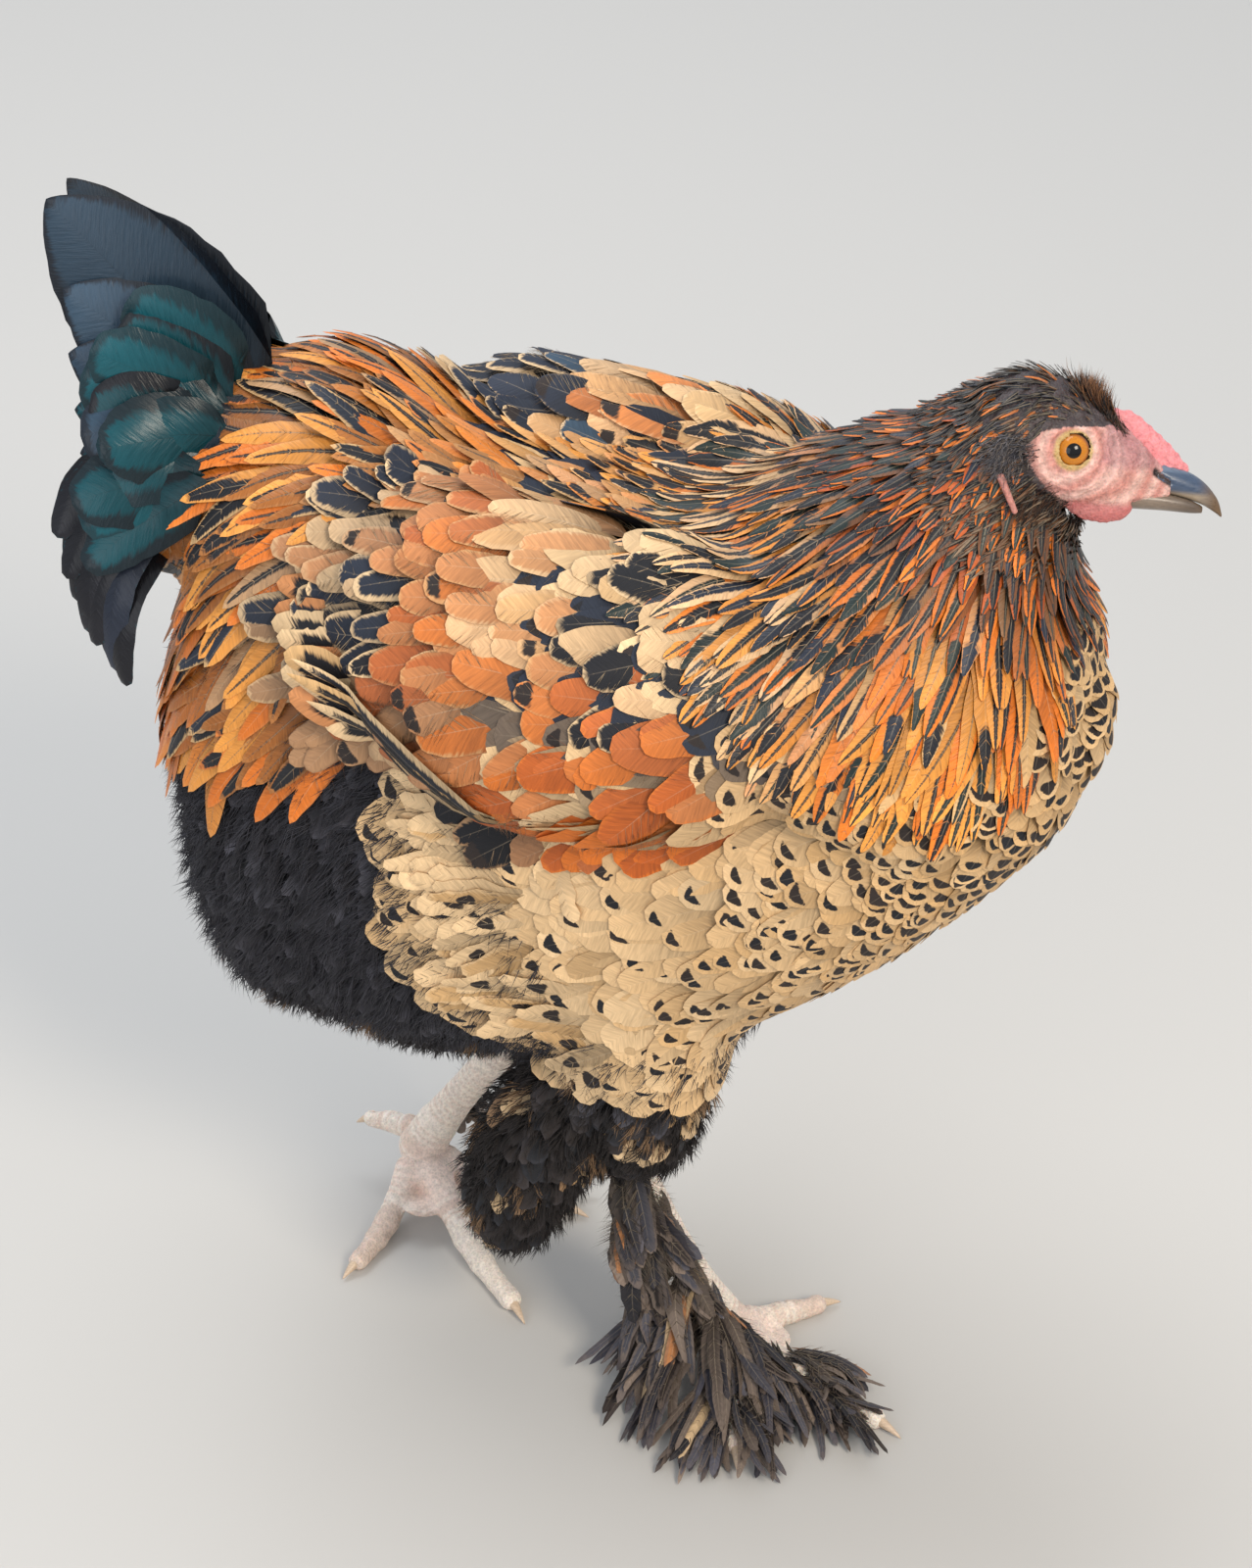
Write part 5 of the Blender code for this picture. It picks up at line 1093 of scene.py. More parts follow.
def dress_wing(coat, trunk, skin, side, draw):
    """Folded wing: primaries and secondaries, then coverts of mixed colours up to the bow"""
    for tier, rim_at, outline in zip(WING_TIERS, (0.55, 0.5, 0.42), (oar, oar, blade)):
        path, up, width = tier_paths(tier, side, trunk, draw)
        count = len(path)
        ground = chosen(draw, count, (NAVY, BLACK), (1, 2), 0.15)
        rim = chosen(draw, count, (CREAM, PINK_BUFF, BUFF), (4, 1, 1))
        marks = np.stack([np.full(count, -1.0), rim_at + draw.normal(0, 0.1, count), np.zeros(count)], 1)
        add_vanes(coat, path, up, width / 2 * draw.uniform(0.85, 1.1, count), outline, draw, (ground, ground, rim), marks,
                  np.tile(NO_SPOT, (count, 1)), ring=FINE_RING, ragged=0.06, cup=0.2, thick=0.02, roll=0.08)
    zones = NEAR_COVERTS if side < 0 else FAR_COVERTS
    middles = np.array([zone[:2] for zone in zones])
    region = (wing_form(skin) < -0.2) & (np.sign(skin[:, 1]) == side) & (skin[:, 0] > -6.2)
    region &= (skin[:, 2] > 31.2) | (skin[:, 0] > -0.5)
    roots = thinned(skin[region], 1.02, draw)
    count = len(roots)
    rear = fade(-roots[:, 0], -2.0, 2.0)
    path, up = walk(trunk, roots, wing_lie, draw.uniform(3.5, 4.8, count) - 0.7 * rear, 0.5,
                    draw.uniform(0.2, 0.34, count) + 0.5 * rear, 12, draw.normal(0, 0.14, count), 0.65)
    where = roots[:, (0, 2)] + draw.normal(0, 0.3, (count, 2))
    zone_of = np.linalg.norm(where[:, None] - middles, axis=2).argmin(1)
    ground, rim, rim_at = np.zeros((count, 3)), np.zeros((count, 3)), np.zeros(count)
    cloud, total = np.zeros((count, 3)), 1e-6
    for index, (_, _, colours, shares, edge, start) in enumerate(zones):
        here = zone_of == index
        ground[here] = chosen(draw, here.sum(), colours, shares)
        mean = np.average(colours, axis=0, weights=shares)
        near = np.exp(-((where - middles[index]) ** 2).sum(1) / 3.0)[:, None]
        cloud, total = cloud + near * mean, total + near
        rim[here] = mixed(ground[here], edge, draw.uniform(0.4, 1.0, here.sum()))
        rim_at[here] = start
    pale = ground.max(1) > 0.2
    ground = mixed(ground, cloud / total, np.where(pale, 0.45, 0.0))
    rim = mixed(rim, cloud / total, np.where(pale, 0.4, 0.0))
    marks = np.stack([np.full(count, -1.0), rim_at + draw.normal(0, 0.06, count), np.full(count, 0.05)], 1)
    spot = swapped(np.tile(NO_SPOT, (count, 1)), (0.97, 1.2, 60.0), draw.uniform(0, 1, count) < 0.12)
    width = draw.uniform(0.6, 0.95, count) - 0.12 * rear
    add_vanes(coat, path, up, width, leaf, draw, (ground, np.tile(DARK, (count, 1)), rim), marks, spot, ring=FINE_RING,
              ragged=0.05, cup=0.14, roll=0.08)
    add_barbs(coat, path, up, width * 1.85, rim, draw, 0.35, 20, UNDER)


def dress_saddle(coat, trunk, skin, draw):
    """Saddle hackle: pointed feathers from the back over the tail's root and down the flanks, and the back's own"""
    x, y, z = skin.T
    turn = np.degrees(np.arctan2(np.abs(y), z - 27.0))
    reach = 33.0 + 45.0 * fade(-x, 2.0, 9.0)
    region = (x < 3.5) & (x > -14.8) & (turn < reach) & (wing_form(skin) > -0.6) & (z > 30.5)
    roots = thinned(skin[region], 0.68, draw)
    count = len(roots)
    rear = fade(-roots[:, 0], -1.0, 6.0)
    turn = np.degrees(np.arctan2(np.abs(roots[:, 1]), roots[:, 2] - 27.0))
    side = fade(turn, 18.0, 50.0)
    long = (3.3 + 2.9 * rear) * draw.uniform(0.85, 1.12, count)
    path, up = walk(trunk, roots, body_lie, long, 0.6, 0.2 + draw.uniform(0.0, 0.3, count) + 0.25 * rear, 9,
                    draw.normal(0, 0.15, count), 0.65)
    tail_end = fade(-roots[:, 0], 8.5, 12.0)
    ground = chosen(draw, count, (ORANGE, (0.33, 0.11, 0.02), GOLD, TAN), (4, 5, 2, 0.7))
    ground = mixed(ground, chosen(draw, count, (CREAM, BUFF, GOLD), (2, 3, 4)), 0.5 * (1 - rear))
    low = side * tail_end
    ground = mixed(ground, chosen(draw, count, (ORANGE, GOLD), (4, 1)), 0.6 * low)
    stripe = draw.uniform(-0.25, 0.16, count) + 0.28 * (1 - side) * rear
    black = draw.uniform(0, 1, count) < 0.09 + 0.25 * (1 - side) * tail_end
    ground = swapped(ground, chosen(draw, count, (BLACK, NAVY), (1, 1)), black)
    rim = mixed(ground, BUFF, np.where(black, 0.9, 0.12))
    spot = swapped(np.tile(NO_SPOT, (count, 1)), (0.9, 1.0, 18.0), draw.uniform(0, 1, count) < 0.18)
    marks = np.stack([np.where(black, -1.0, stripe), np.full(count, 0.7), 0.1 * low], 1)
    width = 0.26 + 0.045 * long
    add_vanes(coat, path, up, width, lance, draw, (ground, np.tile(BLACK, (count, 1)), rim), marks, spot,
              ring=FINE_RING, ragged=0.1, cup=0.14, roll=0.1)
    add_barbs(coat, path, up, width * 1.9, mixed(ground, rim, np.full(count, 0.5)), draw, 0.4, 10, UNDER)


def bowed(rows, stations):
    """Shafts through a root, a bend and a tip: quadratic curves, one for each row"""
    t = np.linspace(0, 1, stations)[None, :, None]
    root, bend, tip = (rows[:, None, k:k + 3] for k in (0, 3, 6))
    return root * (1 - t) ** 2 + bend * 2 * t * (1 - t) + tip * t * t


def dress_tail(coat, trunk, draw):
    """Tail: two fans of quill feathers under one broad top feather, round glossy coverts, and curved dark sickles"""
    for side in (-1, 1):
        flip = np.array((1.0, -side, 1.0))
        length, climb, width, out = rows_at(QUILLS, np.linspace(0, 1, 5)).T
        climb = np.radians(climb)
        root = np.array(QUILL_ROOT) + np.stack([climb * 0, -out * 0.3, (climb - 0.8) * 1.2], 1)
        tip = root + np.stack([-np.cos(climb) * length, -out * 0.8, np.sin(climb) * length], 1)
        bend = (root + tip) / 2 + np.stack([climb * 0, -0.3 - out * 0.25, climb * 0 + 0.6], 1)
        path = bowed(np.concatenate([root, bend, tip], 1), 20) * flip
        up = np.tile(unit(np.array(QUILL_OUT)) * flip, (*path.shape[:2], 1))
        count = len(path)
        ground = chosen(draw, count, (SLATE, TEAL), (14, 1), 0.1)
        # Rims drawn towards black: painted shade where the feathers' sheen turns dark with the angle
        rim = mixed(ground, BLACK, np.full(count, 0.85))
        add_vanes(coat, path, up, width / 2, blade, draw, (ground, ground, rim), np.tile((-1.0, 0.72, 0.1), (count, 1)),
                  np.tile(NO_SPOT, (count, 1)), ring=FINE_RING, ragged=0.02, cup=0.12, thick=0.03, roll=0.03)
        # Coverts get black rims as painted shade where their teal sheen turns dark with the angle; the black sickles
        # get teal edges as a painted teal sheen
        for table, wander, colours, edge, edge_at in (
            (COVERTS, 0.2, (TEAL, SLATE), BLACK, 0.55), (SICKLES, 0.2, (BLACK, NAVY), TEAL, 0.97),
        ):
            rows = rows_at(table, np.linspace(0, 1, 12))[draw.permutation(12)]
            rows[:, :9] += draw.normal(0, wander, (12, 9))
            path = trunk.lifted(bowed(rows[:, :9], 16) * flip, np.linspace(0.1, 0.5, 16) + draw.uniform(0, 0.5, (12, 1)))
            up = np.tile(unit(np.array(COVERT_OUT)) * flip, (*path.shape[:2], 1))
            ground = chosen(draw, 12, colours, (40, 1), 0.2)
            rim = mixed(ground, edge, draw.uniform(0.6, 1.0, 12))
            add_vanes(coat, path, up, rows[:, 9] / 2 * draw.uniform(0.9, 1.1, 12), leaf, draw, (ground, ground, rim),
                      np.tile((-1.0, edge_at, 0.1), (12, 1)), np.tile(NO_SPOT, (12, 1)), ring=FINE_RING, ragged=0.05,
                      cup=0.2, thick=0.02, roll=0.08)


def pale_patches(points):
    """Whether leg feathers are in the pale patches: where a product of sines is high, more of it ahead than behind"""
    x, y, z = points.T
    cloud = np.sin(1.5 * x + 0.9) * np.sin(1.6 * z + 0.9 * y)
    return (cloud > 0.78 - 0.4 * fade(x, 0.5, 2.5)) & (z < 17.0)


def dress_fluff(coat, downs, trunk, skin, draw):
    """Charcoal fluff of the rump and thighs: loose soft feathers with tufts of down standing out between them"""
    x, y, z = skin.T
    edge = 0.4 - 1.8 * fade(z, 20.0, 26.0)
    region = (x < edge) & (z < 34.5) & (wing_form(skin) > -0.5) | (z < 18.5)
    roots = thinned(skin[region], 0.66, draw)
    count = len(roots)
    leg = fade(-roots[:, 2], -17.5, -15.0)
    path, up = walk(trunk, roots, body_lie, draw.uniform(2.3, 3.4, count) * (1 - 0.35 * leg), 0.9,
                    draw.uniform(-0.4, 0.0, count), 7, draw.normal(0, 0.25, count))
    ground = mixed(chosen(draw, count, (CHARCOAL, SMOKE), (4, 1), 0.2), chosen(draw, count, (DARK, BLACK), (2, 1)), leg)
    ground = swapped(ground, chosen(draw, count, (TAN, CREAM, BUFF), (2, 3, 1)), pale_patches(roots))
    rim = mixed(ground, SMOKE, np.where(leg > 0.5, 0.15, 0.45))
    add_vanes(coat, path, up, draw.uniform(0.36, 0.52, count), leaf, draw, (ground, ground, rim),
              np.tile((-1.0, 0.55, 0.0), (count, 1)), np.tile(NO_SPOT, (count, 1)), ragged=0.35)
    roots = trunk.settled(skin[region] + draw.normal(0, 0.12, skin[region].shape), -0.6)
    for down, share in zip(downs, np.array_split(draw.permutation(len(roots)), len(downs))):
        tuft = np.repeat(roots[share], TUFT_BLADES, 0)
        count = len(tuft)
        each = lambda values: np.repeat(values, TUFT_BLADES, 0)
        leg = fade(-tuft[:, 2], -17.5, -15.0)
        out = trunk(tuft)[1]
        lean = each(draw.normal(0, 0.3, (len(share), 3)))
        way = unit(unit(body_lie(tuft)) + lean + draw.normal(0, 0.16, (count, 3)) + out * 0.1)
        long = each(draw.uniform(1.1, 2.4, len(share))) * draw.uniform(0.6, 1.0, count) * (1 - 0.4 * leg)
        height = each(draw.uniform(-0.1, 0.55, len(share))) - 0.2 * leg + draw.normal(0, 0.08, count)
        tip = trunk.settled(tuft + way * long[:, None], height, 2)
        shade = mixed(mixed(CHARCOAL, SMOKE, each(draw.uniform(0, 1, len(share)) ** 1.6)), DARK, leg)
        shade = mixed(shade, TAN, 0.8 * pale_patches(tuft))
        start = tuft + draw.normal(0, 0.05, (count, 3))
        add_blades(down, start, tip, out * 0.15, draw.uniform(0.014, 0.03, count), shade, draw)


def dress_feet(coat, draw):
    """Feathers of the shanks and outer toes, splayed over the floor"""
    rows = np.repeat(np.array(FOOT_FEATHERS), FOOT_TUFT, axis=0)
    count = len(rows)
    boot = fade(rows[:, 8:9], 1.0, 2.4)
    wander = draw.normal(0, 1, (count, 9)) * np.repeat((0.25, 0.35, 0.55), 3) * (1 - 0.6 * boot)
    width = rows[:, 9:] * draw.uniform(0.4, 0.7, (count, 1)) * (1 + 0.5 * boot)
    rows = np.concatenate([rows[:, :9] + wander, width], 1)
    rows[:, (2, 5, 8)] = np.maximum(rows[:, (2, 5, 8)], (0.35, 0.3, 0.12))
    path = bowed(rows[:, :9], 9)
    up = np.tile(Z_WAY - 0.5 * boot[:, None] * Y_WAY, (1, path.shape[1], 1)) + draw.normal(0, 0.25, (count, 1, 3))
    ground = chosen(draw, count, (SMOKE, DRAB, CHARCOAL, DARK), (4, 3, 4, 2), 0.25)
    patch = np.linalg.norm(rows[:, 6:9] - BOOT_PATCH, axis=1) < 0.7
    ground = swapped(ground, chosen(draw, count, (CREAM, PINK_BUFF), (2, 2)), draw.uniform(0, 1, count) < 0.02 + 0.6 * patch)
    rim = mixed(ground, DRAB, draw.uniform(0, 0.8, count))
    add_vanes(coat, path, unit(up), rows[:, 9] / 3.4, leaf, draw, (ground, ground, rim),
              np.tile((-1.0, 0.5, 0.0), (count, 1)), np.tile(NO_SPOT, (count, 1)), ragged=0.25, cup=0.1, roll=0.2)
    add_barbs(coat, path, unit(up), rows[:, 9] * 0.75, rim, draw, 0.2, 14)


def both_sides(point):
    """A point and its mirror image"""
    return [np.array(point, float) * (1.0, side, 1.0) for side in (-1.0, 1.0)]


def comb_form(points):
    """The comb's body, a low wedge from over the eyes down the beak's root"""
    return stack(COMB, COMB_WAY, Y_WAY)(points)


def nostril_form(points):
    """Slits of both nostrils"""
    return np.minimum(*(rod(start, end, 0.1, 0.07)(points)
                        for start, end in zip(*(both_sides(place) for place in NOSTRIL))))


def head_form(points):
    """Bare head in its own axes: skull, skin over the beak's root, cheeks, almond lids round hollows for the eyes,
    lobes, wattles, comb and nostrils"""
    made = merge(stack(HEAD, X_WAY, Y_WAY, -0.12)(points), stack(BEAK_SKIN, X_WAY, Y_WAY)(points), 0.2)
    made = merge(made, comb_form(points), 0.16)
    for side in (-1.0, 1.0):
        flip = np.array((1.0, side, 1.0))
        for form, width in (
            (ball(flip * (0.5, 0.95, -0.9), (1.4, 0.62, 0.75)), 0.5),
            (ball(flip * (1.7, 0.6, -0.3), (0.95, 0.45, 0.65)), 0.4),
            (rod(flip * (1.15, 0.95, 0.62), flip * (-0.9, 1.5, 0.62), 0.14, 0.2), 0.35),
            (hoop(flip * (0.04, 1.5, 0.0), flip * (0.16, 1.0, 0.1), 0.56, 0.1, 0.9), 0.1),
            (hoop(flip * (-0.02, 1.4, -0.02), flip * (0.16, 1.0, 0.1), 0.8, 0.07, 0.88), 0.16),
            (hoop(flip * (-0.1, 1.3, -0.06), flip * (0.16, 1.0, 0.1), 1.04, 0.07, 0.85), 0.2),
            (rod(flip * (0.5, 1.5, 0.02), flip * (0.95, 1.2, -0.1), 0.12, 0.06), 0.12),
            (rod(flip * (-2.25, 2.2, -1.0), flip * (-1.65, 1.98, -2.05), 0.13, 0.1), 0.3),
            (ball(flip * (1.15, 0.8, -1.72), (1.05, 0.28, 0.52)), 0.3),
            (rod(flip * (0.8, 1.22, -1.35), flip * (2.4, 0.66, -1.3), 0.14, 0.1), 0.16),
        ):
            made = merge(made, form(points), width)
    made = np.maximum(made, -nostril_form(points))
    eyes = ball(both_sides(EYE_AT)[0], (EYE_RADIUS,) * 3)(points)
    eyes = np.minimum(eyes, ball(both_sides(EYE_AT)[1], (EYE_RADIUS,) * 3)(points))
    return np.maximum(made, 0.015 - eyes)


def wrinkles(points):
    """Folds of the bare face, from sines bent by one another"""
    x, y, z = points.T
    fold = np.sin(7.0 * x + 2.4 * np.sin(3.1 * z + 1.0)) * np.sin(9.0 * z + 2.0 * np.sin(4.0 * x))
    fine = np.sin(19.0 * x + 3.0 * np.sin(8.0 * z)) * np.sin(21.0 * z + 2.0 * np.sin(9.0 * y + 5.0 * x))
    eye = np.linalg.norm(points - np.stack([x * 0, np.sign(y) * 1.5, z * 0], 1), axis=1)
    rings = np.sin(17.0 * eye + 1.5 * fold) * (1 - fade(eye, 1.5, 2.0))
    return 0.4 * fold + 0.4 * fine + 0.6 * rings


def toe_rows(points, radius):
    """Rows of a toe: x, y, z and radius; it thins to its end and swells at each joint"""
    t = np.linspace(0, 1, 6)
    x, y, lift = rows_at(points[:3], t).T
    girth = radius * (1.0 - 0.35 * t) * (1.0 + 0.1 * np.cos(6 * math.pi * t))
    return np.stack([x, y, np.maximum(lift, 0) + girth - 0.05, girth], 1)


def foot_chains(side):
    """Shank and toes of one foot, each a chain of middles and radii"""
    shank = rows_at(SHANK[side], np.linspace(0, 1, 7))[:, :4] * (1, 1, 1, 0.97)
    return [shank] + [toe_rows(points, TOE_RADIUS[toe]) for toe, points in TOES[side].items()]


def foot_form(side, chains, webbed):
    """Form of some chains of a foot rounded into one another, with a web between the front toes and a flat sole"""
    roots = [np.array(TOES[side][toe][0]) for toe in ("inner", "middle", "outer")]
    bends = [np.array(TOES[side][toe][1]) for toe in ("inner", "middle", "outer")]

    def form(points):
        rods = [rod(first[:3], last[:3], first[3], last[3])(points)
                for chain in chains for first, last in zip(chain, chain[1:])]
        made = rods[0]
        for piece in rods[1:]:
            made = merge(made, piece, 0.12)
        for a, b in ((0, 1), (1, 2)) if webbed else ():
            middle = (roots[a] + roots[b]) * 0.3 + (bends[a] + bends[b]) * 0.2 + (0, 0, 0.35)
            made = merge(made, ball(middle, (0.9, 0.9, 0.16))(points), 0.3)
        if webbed:
            made = merge(made, ball(sum(roots) / 3 + (0, 0, 0.5), (0.95, 0.95, 0.6))(points), 0.3)
        return np.maximum(made, 0.02 - points[..., 2])
    return form


def scute_place(points, side):
    """For skin points of a foot: how far along the nearest chain they are"""
    best, place = np.full(len(points), 9.0), np.zeros(len(points))
    for chain in foot_chains(side):
        run = 0.0
        for first, last in zip(chain, chain[1:]):
            way = last[:3] - first[:3]
            t = np.clip((points - first[:3]) @ way / (way @ way), 0, 1)
            gap = np.linalg.norm(points - first[:3] - t[:, None] * way, axis=1) - first[3]
            nearer = gap < best
            place = np.where(nearer, run + t * np.linalg.norm(way), place)
            best = np.where(nearer, gap, best)
            run += np.linalg.norm(way)
    return place


SCUTE = 0.28
NET_ROOM = 1.3
UNDER = (-0.3, -0.1)


def grooves(place):
    """Depth of the grooves between scutes, 1 in their middles"""
    return np.exp(-(((place / SCUTE + 0.5) % 1.0 - 0.5) * SCUTE / 0.05) ** 2)


def region_colours(points):
    """Colour of the skin under the coat, as the coat over it: pale breast, dark fluff, rusty wings, saddle and neck"""
    x, y, z = points.T
    colour = np.tile(np.array(BUFF) * 0.8, (len(points), 1))
    colour = mixed(colour, CHARCOAL, fade(-x, 0.0, 2.0) * fade(-z, -35.0, -33.0))
    colour = mixed(colour, (0.2, 0.08, 0.03), fade(-x, 1.0, 4.0) * fade(z, 33.0, 35.0))
    colour = mixed(colour, RUST, fade(-wing_form(points), -0.2, 0.6))
    gap = np.linalg.norm(points - HACKLE_SOURCE, axis=1)
    colour = mixed(colour, (0.10, 0.04, 0.02), 1 - fade(gap, 8.0, 10.0))
    return mixed(colour, DARK, fade(-z, -17.5, -15.5))


def face_colours(points):
    """Colour of the bare head in its own axes: pink folds with painted shade in their hollows and painted light on
    their ridges, an ochre rim to the lids, a purple-brown cheek, pink-red comb, dark red wattles, and dark skin under
    the feathers"""
    x, y, z = points.T
    eye = np.linalg.norm(points - np.stack([x * 0, np.sign(y) * 1.5, z * 0], 1), axis=1)
    colour = mixed(FACE, FACE_PALE, 0.5 + 0.5 * np.sin(9.0 * eye + 2.0 * np.sin(2.0 * x)))
    cheek = fade(eye, 1.1, 1.6) * fade(-x, -0.9, 0.4) * fade(z, -1.7, -1.2)
    colour = mixed(colour, CHEEK, 0.8 * cheek)
    colour = mixed(colour, (0.32, 0.14, 0.15), 0.7 * fade(x, 0.75, 1.2) * fade(z, -0.7, -0.2))
    # Painted shade and light: darker in the hollows of the folds and lighter on their ridges, by the same folds that
    # shape the skin
    colour = colour * (1 + 0.22 * wrinkles(points)[:, None])
    colour = mixed(colour, LID, 0.85 * (1 - fade(eye, 0.6, 0.7)))
    colour = mixed(colour, WATTLE_RED, 0.8 * fade(-z, 1.45, 1.75) * fade(x, -0.2, 0.3))
    lobe = rod((-2.25, 2.2, -1.0), (-1.65, 1.98, -2.05), 0.16, 0.13)(np.abs(points) * (-1.0, 1.0, -1.0))
    lobe = np.where(x < 0, lobe, 1.0) + np.where(z < 0, 0.0, 1.0)
    colour = mixed(colour, (0.05, 0.035, 0.035), ~bare_face(points) * (x < 2.2))
    colour = mixed(colour, FACE, 1 - fade(lobe, -0.02, 0.08))
    colour = mixed(colour, COMB_RED, 1 - fade(comb_form(points), 0.06, 0.16))
    return mixed(colour, (0.03, 0.015, 0.015), 1 - fade(nostril_form(points), 0.0, 0.07))


def joined(names):
    """One closed mesh of several closed ones, by Boolean unions"""
    first, *others = (bpy.data.objects[name] for name in names)
    for other in others:
        step = first.modifiers.new("union", "BOOLEAN")
        step.operation, step.solver, step.object = "UNION", "MANIFOLD", other
    depsgraph = bpy.context.evaluated_depsgraph_get()
    mesh = bpy.data.meshes.new_from_object(first.evaluated_get(depsgraph))
    points = np.empty(len(mesh.vertices) * 3, np.float32)
    mesh.vertices.foreach_get("co", points)
    mesh.calc_loop_triangles()
    faces = np.empty(len(mesh.loop_triangles) * 3, np.int32)
    mesh.loop_triangles.foreach_get("vertices", faces)
    for made in (first, *others):
        bpy.data.objects.remove(made)
    return points.reshape(-1, 3).astype(float) / CM - SHIFT, faces.reshape(-1, 3)


def comb_bumps(points):
    """Height of the comb's small round bumps, in rows along and across it"""
    along, across, high = COMB_BUMPS
    way = unit(np.array(COMB_WAY))
    round_ = np.cos(2 * math.pi * (points @ way) / along) * np.cos(2 * math.pi * points[:, 1] / across)
    rows = np.cos(2 * math.pi * (points @ np.cross(way, Y_WAY)) / across)
    return high * (0.6 * round_ + 0.4 * rows)


def skin_finish():
    """Skin: its own colour, mottled, with pores and small folds"""
    finish = Finish("bare_skin", Roughness=0.5, Subsurface_Weight=0.12, Subsurface_Scale=0.004)
    place = finish.attribute("vane")
    cells = place.node("ShaderNodeTexVoronoi", None, {"Vector": place, "Scale": 11.0})
    cloud = place.node("ShaderNodeTexNoise", None, {"Vector": place, "Scale": 5.0, "Detail": 5.0, "Roughness": 0.6})
    shade = cells * 0.35 + cloud * 0.9 + 0.42
    grey = shade.node("ShaderNodeCombineXYZ", None, {0: shade, 1: shade, 2: shade})
    finish.set(Base_Color=finish.colour("ground").over(grey, 1.0, "MULTIPLY"), Roughness=cloud * 0.4 + 0.28)
    finish.bump(cells * 0.8 + cloud, 0.6, 0.0006)
    return finish.material


def make_skin(trunk):
    """One closed skin of trunk, head and feet, with the coat's colours under the coat"""
    add_mesh("trunk_skin", *surface_net(trunk.values + skin_depth(trunk.points), trunk.low, trunk.step), None)
    names = ["trunk_skin"]
    head = Field(head_form, (-3.9, -2.6, -3.6), (4.5, 2.6, 3.2), 0.065)
    corners, quads = surface_net(head.values, head.low, head.step)
    bare = fade(corners[:, 0], -1.6, -1.0) * (1 - fade(np.linalg.norm(corners, axis=1), 4.2, 4.8))
    comb = 1 - fade(comb_form(corners), 0.0, 0.15)
    up = head(corners)[1]
    corners = corners + up * (0.045 * bare * (1 - comb) * wrinkles(corners) + comb * comb_bumps(corners))[:, None]
    add_mesh("head_skin", from_head(corners), quads, None)
    names.append("head_skin")
    for side in (-1, 1):
        shank, *toes = foot_chains(side)
        for kind, chains in (("shank", [shank]), ("toes", toes)):
            ends = np.concatenate(chains)
            low, high = ends[:, :3].min(0) - NET_ROOM, ends[:, :3].max(0) + NET_ROOM
            low[2] = max(low[2], -0.15)
            foot = Field(foot_form(side, chains, kind == "toes"), low, high, 0.11)
            corners, quads = surface_net(foot.values, foot.low, foot.step)
            up = foot(corners)[1]
            front = fade(up[:, 2] + 0.6 * (corners[:, 2] > 1.6) * up[:, 0], -0.1, 0.4)
            palm = np.linalg.norm(corners - np.array(TOES[side]["middle"][0]), axis=1)
            deep = grooves(scute_place(corners, side)) * front * fade(palm, 1.0, 1.9)
            corners = corners - up * (0.035 * deep)[:, None] * (corners[:, 2:] > 0.05)
            names.append(f"{SIDE_NAMES[side]}_{kind}_skin")
            add_mesh(names[-1], corners, quads, None)
    points, faces = joined(names)
    colour = region_colours(points)
    local = to_head(points)
    on_head = (np.abs(local) < (4.5, 2.6, 3.4)).all(1) & (local[:, 0] > -3.2)
    colour[on_head] = face_colours(local[on_head])
    low = points[:, 2] < 9.0
    for side in (-1, 1):
        foot = low & (np.sign(points[:, 1] - 0.6) == side)
        deep = grooves(scute_place(points[foot], side))
        palm = np.linalg.norm(points[foot] - np.array(TOES[side]["middle"][0]), axis=1)
        tone = mixed(SCALE, (0.50, 0.30, 0.22), 0.45 * deep * fade(palm, 1.0, 1.9))
        colour[foot] = mixed(tone, WEB, 0.25 * (1 - fade(palm, 0.8, 2.4)))
    made = add_mesh("skin", points, faces, skin_finish(), {"ground": colour, "vane": points})
    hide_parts("torso", "neck", "head", "comb", "wattle_left", "wattle_right", "thigh_left", "thigh_right",
                "hock_left", "hock_right", "shank_left", "shank_right",
                *(f"toe_{SIDE_NAMES[side]}_{toe}" for side in (-1, 1) for toe in TOES[side]))
    return made


